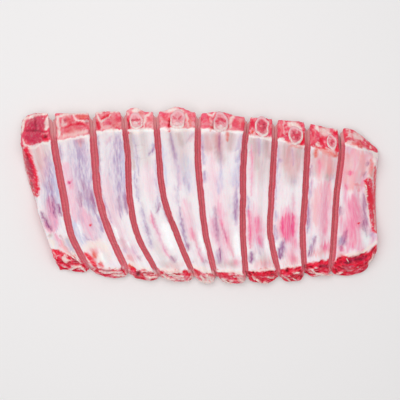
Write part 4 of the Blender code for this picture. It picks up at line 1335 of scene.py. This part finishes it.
def boneMaterial():
    material = newMaterial("rib bone, sawn, with red marrow")
    tree = material.node_tree
    marrow = addNode(tree, "ShaderNodeAttribute", {"attribute_name": "marrow"}).outputs["Fac"]
    lower = addNode(tree, "ShaderNodeAttribute", {"attribute_name": "lower"}).outputs["Fac"]
    place = addNode(tree, "ShaderNodeTexCoord").outputs["Object"]
    sponge = addNode(tree, "ShaderNodeTexVoronoi", Vector=place, Scale=1 / (boneFinish["pore"] * mm))
    blotch = addNode(tree, "ShaderNodeTexNoise", Vector=place, Scale=1 / (boneFinish["blotch"] * mm),
        Detail=4.0)
    patchy = addNode(tree, "ShaderNodeMapRange", Value=blotch, From_Min=0.42, From_Max=0.66, To_Max=0.8)
    pink = addNode(tree, "ShaderNodeMath", {"operation": "MAXIMUM"}, n0=lower, n1=patchy)
    clean, bloody = (linear(code) for code in boneFinish["shell"])
    shell = addNode(tree, "ShaderNodeMix", {"data_type": "RGBA"}, n0=pink, n6=clean, n7=bloody)
    soft = blend(tree, *(linear(code) for code in boneFinish["marrow"]), blotch, 0.50, 0.72, 0.7)
    for layer in boneFinish["tints"]:
        soft = layOver(tree, soft, (*layer, *boneFinish["tintShows"]), sponge, boneFinish["poreRange"])
    colour = addNode(tree, "ShaderNodeMix", {"data_type": "RGBA"}, n0=marrow, n6=shell, n7=soft)
    bumps = addNode(tree, "ShaderNodeBump", Height=sponge, Strength=0.4, Distance=0.0003)
    shader = addNode(tree, "ShaderNodeBsdfPrincipled", Base_Color=colour, Roughness=0.38, IOR=1.45,
        Normal=bumps, Subsurface_Weight=0.12, Subsurface_Radius=(1.0, 0.4, 0.3), Subsurface_Scale=0.0015,
        Coat_Weight=0.2, Coat_Roughness=0.15)
    addNode(tree, "ShaderNodeOutputMaterial", Surface=shader)
    return material


def modifierInput(modifier, name, value):  # by the socket's identifier, not its name
    for item in modifier.node_group.interface.items_tree:
        if item.item_type == "SOCKET" and item.in_out == "INPUT" and item.name == name:
            modifier[item.identifier] = value
            return
    raise KeyError(name)


def newTree(name, sizes, finish):  # a tree with its sizes and its material as inputs
    tree = bpy.data.node_groups.new(name, "GeometryNodeTree")
    tree.interface.new_socket("Geometry", in_out="INPUT", socket_type="NodeSocketGeometry")
    for label, value in sizes.items():
        kind = "NodeSocketInt" if isinstance(value, int) else "NodeSocketFloat"
        tree.interface.new_socket(label, in_out="INPUT", socket_type=kind).default_value = value
    tree.interface.new_socket(finish, in_out="INPUT", socket_type="NodeSocketMaterial")
    tree.interface.new_socket("Geometry", in_out="OUTPUT", socket_type="NodeSocketGeometry")
    return tree, addNode(tree, "NodeGroupInput").outputs


def dressed(thing, tree, sizes, material):  # the tree's result as a plain mesh of the piece's own
    modifier = thing.modifiers.new(tree.name, "NODES")
    modifier.node_group = tree
    for name, value in (*sizes.items(), material):
        modifierInput(modifier, name, value)
    graph = bpy.context.evaluated_depsgraph_get()
    mesh = bpy.data.meshes.new_from_object(thing.evaluated_get(graph))
    thing.modifiers.clear()
    thing.data = mesh
    mesh.name = thing.name
    return thing


# Fine relief of the meat's surface, in mm.
relief = {
    "Fibre Spacing": 1.8,
    "Fibre Length": 11.0,
    "Fibre Height": 0.32,
    "Grain Size": 2.4,
    "Grain Height": 0.42,
    "Skin Grain": 0.25,  # how much of the grain shows under the membrane
    "Seed": 3.0,
}


def reliefTree():
    tree, given = newTree("meat relief", relief, "Meat")
    multiply = {"operation": "MULTIPLY"}
    place = addNode(tree, "GeometryNodeInputNamedAttribute", {"data_type": "FLOAT_VECTOR"}, Name="place")
    cut = addNode(tree, "GeometryNodeInputNamedAttribute", {"data_type": "FLOAT"}, Name="cut")
    free = addNode(tree, "GeometryNodeInputNamedAttribute", {"data_type": "FLOAT"}, Name="free")
    cell = addNode(tree, "ShaderNodeCombineXYZ", X=given["Fibre Spacing"], Y=given["Fibre Length"],
        Z=given["Fibre Spacing"])
    fibrePlace = addNode(tree, "ShaderNodeVectorMath", {"operation": "DIVIDE"}, n0=place, n1=cell)
    fibres = addNode(tree, "ShaderNodeTexNoise", {"noise_dimensions": "4D"}, Vector=fibrePlace,
        W=given["Seed"], Scale=1.0, Detail=2.0)
    grainScale = addNode(tree, "ShaderNodeMath", {"operation": "DIVIDE"}, n0=1.0, n1=given["Grain Size"])
    grain = addNode(tree, "ShaderNodeTexNoise", {"noise_dimensions": "4D"}, Vector=place, W=given["Seed"],
        Scale=grainScale, Detail=3.0, Roughness=0.6)
    fibreHeight = addNode(tree, "ShaderNodeMath", {"operation": "SUBTRACT"}, n0=fibres, n1=0.5)
    fibreHeight = addNode(tree, "ShaderNodeMath", multiply, n0=fibreHeight, n1=given["Fibre Height"])
    grainHeight = addNode(tree, "ShaderNodeMath", {"operation": "SUBTRACT"}, n0=grain, n1=0.5)
    grainHeight = addNode(tree, "ShaderNodeMath", multiply, n0=grainHeight, n1=given["Grain Height"])
    bare = addNode(tree, "ShaderNodeMath", {"operation": "ADD"}, n0=cut, n1=given["Skin Grain"])
    height = addNode(tree, "ShaderNodeMath", {"operation": "MULTIPLY_ADD"}, n0=grainHeight, n1=bare,
        n2=fibreHeight)
    height = addNode(tree, "ShaderNodeMath", multiply, n0=height, n1=free)
    height = addNode(tree, "ShaderNodeMath", multiply, n0=height, n1=mm)
    normal = addNode(tree, "GeometryNodeInputNormal")
    offset = addNode(tree, "ShaderNodeVectorMath", {"operation": "SCALE"}, n0=normal, Scale=height)
    moved = addNode(tree, "GeometryNodeSetPosition", Geometry=given["Geometry"], Offset=offset)
    real = addNode(tree, "GeometryNodeRealizeInstances", Geometry=moved)
    finished = addNode(tree, "GeometryNodeSetMaterial", Geometry=real, Material=given["Meat"])
    addNode(tree, "NodeGroupOutput", Geometry=finished)
    return tree


# Strands of fat and lean that stand off the torn end. They follow the narrow marks there.
shreds = {
    "widest": 3.6,  # px, of a mark that has a strand
    "from": 1.5,  # px beyond the end of the membrane
    "facingUp": 0.25,  # least upward share of the normal where one lies
    "thickness": {"fat": 0.36, "crimson": 0.30},  # of the mark's width
    "lift": 0.35,  # mm
    "colours": {"fat": ("#FBE6DE", "#F7B6B2"), "crimson": ("#E8183C", "#9A0A26")},
    "names": {"fat": "pork fat, torn, wet", "crimson": "lean pork, torn, wet"},
    "blotch": 2.2,  # mm between its redder places
}
strandSizes = {
    "Step": 0.9,  # mm
    "Wander": 1.4,
    "Wander Size": 3.0,
    "Tip": 0.15,  # share of the thickness that is left at both ends
    "Flatness": 0.6,  # height over width
    "Sides": 8,
    "Seed": 5.0,
}


def shredTree():
    tree, given = newTree("torn strands", strandSizes, "Flesh")
    multiply = {"operation": "MULTIPLY"}
    line = addNode(tree, "GeometryNodeMeshToCurve", Mesh=given["Geometry"])
    step = addNode(tree, "ShaderNodeMath", multiply, n0=given["Step"], n1=mm)
    even = addNode(tree, "GeometryNodeResampleCurve", {"mode": "LENGTH"}, Curve=line, Length=step)
    place = addNode(tree, "GeometryNodeInputPosition")
    scale = addNode(tree, "ShaderNodeMath", {"operation": "DIVIDE"}, n0=1 / mm, n1=given["Wander Size"])
    noise = addNode(tree, "ShaderNodeTexNoise", {"noise_dimensions": "4D"}, Vector=place, W=given["Seed"],
        Scale=scale, Detail=1.0)
    centred = addNode(tree, "ShaderNodeVectorMath", {"operation": "SUBTRACT"}, n0=noise.outputs["Color"],
        n1=(0.5, 0.5, 0.5))
    wander = addNode(tree, "ShaderNodeMath", multiply, n0=given["Wander"], n1=mm)
    offset = addNode(tree, "ShaderNodeVectorMath", {"operation": "SCALE"}, n0=centred, Scale=wander)
    moved = addNode(tree, "GeometryNodeSetPosition", Geometry=even, Offset=offset)
    upright = addNode(tree, "GeometryNodeSetCurveNormal", {"mode": "Z_UP"}, Curve=moved)
    along = addNode(tree, "GeometryNodeSplineParameter")
    angle = addNode(tree, "ShaderNodeMath", multiply, n0=along, n1=math.pi)
    swell = addNode(tree, "ShaderNodeMath", {"operation": "SINE"}, n0=angle)
    swell = addNode(tree, "ShaderNodeMath", {"operation": "POWER"}, n0=swell, n1=0.5)
    swell = addNode(tree, "ShaderNodeMapRange", Value=swell, To_Min=given["Tip"])
    half = addNode(tree, "GeometryNodeInputNamedAttribute", {"data_type": "FLOAT"}, Name="half")
    radius = addNode(tree, "ShaderNodeMath", multiply, n0=half, n1=swell)
    ring = addNode(tree, "GeometryNodeCurvePrimitiveCircle", {"mode": "RADIUS"}, Resolution=given["Sides"],
        Radius=1.0)
    flatScale = addNode(tree, "ShaderNodeCombineXYZ", X=1.0, Y=given["Flatness"], Z=1.0)
    flat = addNode(tree, "GeometryNodeTransform", Geometry=ring, Scale=flatScale)
    solid = addNode(tree, "GeometryNodeCurveToMesh", Curve=upright, Profile_Curve=flat, Scale=radius,
        Fill_Caps=True)
    real = addNode(tree, "GeometryNodeRealizeInstances", Geometry=solid)
    finished = addNode(tree, "GeometryNodeSetMaterial", Geometry=real, Material=given["Flesh"])
    addNode(tree, "NodeGroupOutput", Geometry=finished)
    return tree


def shredMaterial(kind):
    material = newMaterial(shreds["names"][kind])
    tree = material.node_tree
    place = addNode(tree, "ShaderNodeTexCoord").outputs["Object"]
    blotch = addNode(tree, "ShaderNodeTexNoise", Vector=place, Scale=1 / (shreds["blotch"] * mm), Detail=3.0)
    colour = blend(tree, *(linear(code) for code in shreds["colours"][kind]), blotch, 0.42, 0.66)
    shader = addNode(tree, "ShaderNodeBsdfPrincipled", Base_Color=colour, Roughness=0.3, IOR=1.38,
        Subsurface_Weight=0.15, Subsurface_Radius=(1.0, 0.4, 0.3), Subsurface_Scale=0.0015, Coat_Weight=0.4,
        Coat_Roughness=0.1)
    addNode(tree, "ShaderNodeOutputMaterial", Surface=shader)
    return material


def strandsOn(number, points, normals):  # each narrow mark of the torn end as a line over the slice, mm
    top = points[normals[:, 2] > shreds["facingUp"]]
    places = seenAt(top)
    x0, y0, above = camera["place"]
    half = camera["framePx"] / 2
    found = []
    for kind, strength, width, *path in sliceLooks[number]["marks"]:
        path = np.array(path, float)
        if kind not in shreds["thickness"] or width > shreds["widest"] or len(path) < 2:
            continue
        if path[:, 1].mean() < min(sliceLooks[number]["end"]) + shreds["from"]:
            continue
        line = []
        for x, y in path:
            nearest = top[np.argmin(np.hypot(*(places - (x, y)).T))]
            depth = (above - nearest[2]) / focal
            line.append(((x - half) * depth + x0, (half - y) * depth + y0, nearest[2] + shreds["lift"]))
        found.append((kind, shreds["thickness"][kind] * width * (above / focal), line))
    return found


def makeShreds(name, strands, tree, material):
    points, edges, halves = [], [], []
    for half, line in strands:
        edges += [(len(points) + n, len(points) + n + 1) for n in range(len(line) - 1)]
        points += line
        halves += [half * mm] * len(line)
    mesh = bpy.data.meshes.new(name)
    mesh.from_pydata((np.array(points) * mm).tolist(), edges, [])
    mesh.attributes.new("half", "FLOAT", "POINT").data.foreach_set("value", np.array(halves, np.float32))
    thing = bpy.data.objects.new(name, mesh)
    bpy.context.scene.collection.objects.link(thing)
    thing = dressed(thing, tree, strandSizes, ("Flesh", material))
    thing.data.shade_smooth()
    return thing


def makeSlice(number, tree, material):
    shares, quads = boxShell(*(divided(axis) for axis in range(3)))
    points = slabPoint(number, *roundedShares(shares).T)
    normals = pointNormals(points, quads)
    zones = findZones(number, points, normals, shares)
    paint = paintSlice(number, points, shares, zones)
    points = carveSlice(number, points, normals, shares, paint, zones)
    place = shares * block["sides"] + number * block["patternStep"]
    up = shares[:, 2]
    free = ramp(points[:, 2], *carve["freeFrom"]) * (1 - zones["side"] * ramp(up, *carve["sideFree"]))
    free = free * (1 - zones["inner"] * ramp(up, *carve["cutFree"]))
    attributes = {**paint, "place": place, "cut": zones["cut"], "free": free, "torn": zones["torn"]}
    thing = toMesh(f"meat_{number + 1:02d}", points, quads, attributes)
    sizes = {**relief, "Seed": relief["Seed"] + number}
    return dressed(thing, tree, sizes, ("Meat", material)), strandsOn(number, points, normals)


# A rib lies in shares of its slice, as the solids have it, so its sawn ring meets the cut face.
rib = {
    "stations": (0.0, 0.16, 0.5, 1.0),  # the first has the slice's own ring
    "halfWidth": (6.3, 6.0, 7.2),  # mm
    "middle": (0.63, 0.66, 0.50),
    "halfHeight": (0.26, 0.23, 0.25),
    "highest": 0.90,  # share of the thickness, so that it stays under the membrane
    "squareness": 0.84,  # below 1 is squarer than an ellipse
    "blindTaper": 0.6,
    "sides": 56,
    "rings": 46,
    "proud": 0.7,  # mm that the sawn end stands out
    "rim": (0.35, 0.15),  # how much less its outer edge does, and how much more its rounded rim
    "setBack": 1.6,  # the brisket end lies behind torn meat
    "cap": (0.95, 12),  # share of the ring where the sawn face begins, and its steps inwards
    "marrowEdge": (0.84, 0.69),
    "marrowDepth": 0.8,
    "lowerSide": (-0.3, 0.7),
    "tints": {"red": (0.2, 1.5), "pale": (0.2, 1.6), "dark": (0.0, 1.6)},
}
chineWay = np.array((0.0, 0.72, 0.69))
brisketWay = np.array((0.0, -0.83, 0.55))


def ribSize(ring, further, t):  # one of a rib's measures along its length, from its ring's own on
    return float(smoothCurve(rib["stations"], (ring, *further), t))


def ribRing(number, t):
    taper = rib["blindTaper"] if 0 < t <= rack["boneStart"][number] else 1.0
    middle = ribSize(carve["ringMiddle"][number], rib["middle"], t)
    halfWidth = taper * ribSize(carve["ringHalfWidth"][number], rib["halfWidth"], t)
    halfHeight = taper * ribSize(carve["ringHalfHeight"][number], rib["halfHeight"], t)
    left, right = slabPoint(number, np.array((0.0, 1.0)), np.full(2, t), np.full(2, middle))
    angle = 2 * math.pi * np.arange(rib["sides"]) / rib["sides"]
    turned = np.stack((np.cos(angle), np.sin(angle)), -1)
    uneven = 1 + field("ribRim", number, turned)
    turned = np.sign(turned) * np.abs(turned) ** rib["squareness"] * uneven[:, None]
    across = ribAcross(number, t) + halfWidth / (right[0] - left[0]) * turned[:, 0]
    highest = rib["highest"] if t > 0 else math.inf
    up = np.minimum(middle + halfHeight * turned[:, 1], highest)
    return slabPoint(number, across, np.full(rib["sides"], t), up)


def makeRib(number, material):
    start = rack["boneStart"][number]
    loops = [ribRing(number, t) for t in np.linspace(start, 1.0, rib["rings"])]
    marrow = [0.0] * len(loops)
    if start == 0:  # the sawn face: a rounded rim, the shell, then the marrow down in its hollow
        less, more = rib["rim"]
        first, steps = rib["cap"]
        face = loops[0]
        centre = face.mean(0)
        loops[0] = face + chineWay * (rib["proud"] - less)
        for step in range(steps):
            share = first * (1 - step / steps)
            ring = centre + (face - centre) * share
            inside = ramp(share, *rib["marrowEdge"])
            hollow = inside * (rib["marrowDepth"] + field("marrow", number, ring))
            out = rib["proud"] + more * (step == 1) - hollow
            loops.insert(0, ring + chineWay * out[:, None])
            marrow.insert(0, inside)
    loops[-1] = loops[-1] - brisketWay * rib["setBack"]
    points = np.concatenate(loops)
    count = rib["sides"]
    faces = []
    for ring in range(len(loops) - 1):
        for n in range(count):
            m = (n + 1) % count
            faces.append((ring * count + n, ring * count + m, (ring + 1) * count + m, (ring + 1) * count + n))
    faces.append(tuple(range(count - 1, -1, -1)))
    faces.append(tuple(range(len(points) - count, len(points))))
    low = -np.sin(2 * math.pi * np.arange(count) / count)
    lower = ramp(low + field("ribShell", number, points[:count]), *rib["lowerSide"])
    paint = {"marrow": np.repeat(np.array(marrow), count), "lower": np.tile(lower, len(loops))}
    shaken = seenAt(points) + np.stack([field("ribMarks", 9 * number + n, points) for n in range(2)], -1)
    paint.update((kind, np.zeros(len(points))) for kind in rib["tints"])
    for kind, strength, width, *path in sliceLooks[number].get("marrow", ()):
        full, last = rib["tints"][kind]
        near = strokeShare(shaken, width, path, stroke["taper"])
        paint[kind] = np.maximum(paint[kind], strength * ramp(near, last, full) * paint["marrow"])
    thing = toMesh(f"rib_{number + 1:02d}", points, faces, paint)
    bm = bmesh.new()
    bm.from_mesh(thing.data)
    bmesh.ops.recalc_face_normals(bm, faces=bm.faces)
    bm.to_mesh(thing.data)
    bm.free()
    thing.data.materials.append(material)
    return thing


meat = porkMaterial()
bone = boneMaterial()
tree = reliefTree()
strands = []
for number in range(rack["slices"]):
    piece, found = makeSlice(number, tree, meat)
    strands += found
    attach(piece, "root")
    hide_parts(f"slice_{number + 1:02d}")
    piece = makeRib(number, bone)
    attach(piece, "root")
    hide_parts(f"bone_{number + 1:02d}")
print("slices and ribs made")

tree = shredTree()
for kind, name in (("fat", "fat_strands"), ("crimson", "lean_strands")):
    own = [strand[1:] for strand in strands if strand[0] == kind]
    piece = makeShreds(name, own, tree, shredMaterial(kind))
    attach(piece, "root")
    print(name, len(piece.data.polygons), "faces")

# A plain pale table, soft light from a large lamp overhead and the sky around it.
studio = {
    "floor": "#F4F2F2",
    "floorSize": 6000.0,  # mm
    "sky": "#FFFFFF",
    "skyStrength": 0.49,
    "lampSize": 900.0,  # mm
    "lampPlace": (-110.0, 120.0, 900.0),
    "lampPower": 5.05,
}


def makeStudio():
    half = studio["floorSize"] / 2
    corners = np.array(((-half, -half, 0), (half, -half, 0), (half, half, 0), (-half, half, 0)))
    floor = toMesh("floor", corners, [(0, 1, 2, 3)])
    material = newMaterial("table top, matt painted")
    tree = material.node_tree
    shader = addNode(tree, "ShaderNodeBsdfPrincipled", Base_Color=linear(studio["floor"]), Roughness=0.8)
    addNode(tree, "ShaderNodeOutputMaterial", Surface=shader)
    floor.data.materials.append(material)
    world = bpy.data.worlds.new("sky")
    world.use_nodes = True
    back = world.node_tree.nodes["Background"]
    back.inputs["Color"].default_value = linear(studio["sky"])
    back.inputs["Strength"].default_value = studio["skyStrength"]
    bpy.context.scene.world = world
    lamp = bpy.data.lights.new("soft box", "AREA")
    lamp.shape = "SQUARE"
    lamp.size = studio["lampSize"] * mm
    lamp.energy = studio["lampPower"]
    holder = bpy.data.objects.new("soft box", lamp)
    holder.location = Vector(studio["lampPlace"]) * mm
    holder.rotation_euler = (-holder.location).to_track_quat("-Z", "Y").to_euler()
    bpy.context.scene.collection.objects.link(holder)
    bpy.context.scene.view_settings.view_transform = "Standard"


def makeCamera():
    lens = bpy.data.cameras.new("camera")
    lens.lens = camera["lens"]
    lens.sensor_width = camera["sensor"]
    lens.clip_start = 0.05
    holder = bpy.data.objects.new("camera", lens)
    holder.location = Vector(camera["place"]) * mm
    bpy.context.scene.collection.objects.link(holder)
    bpy.context.scene.camera = holder


makeStudio()
makeCamera()
print("studio and camera made")
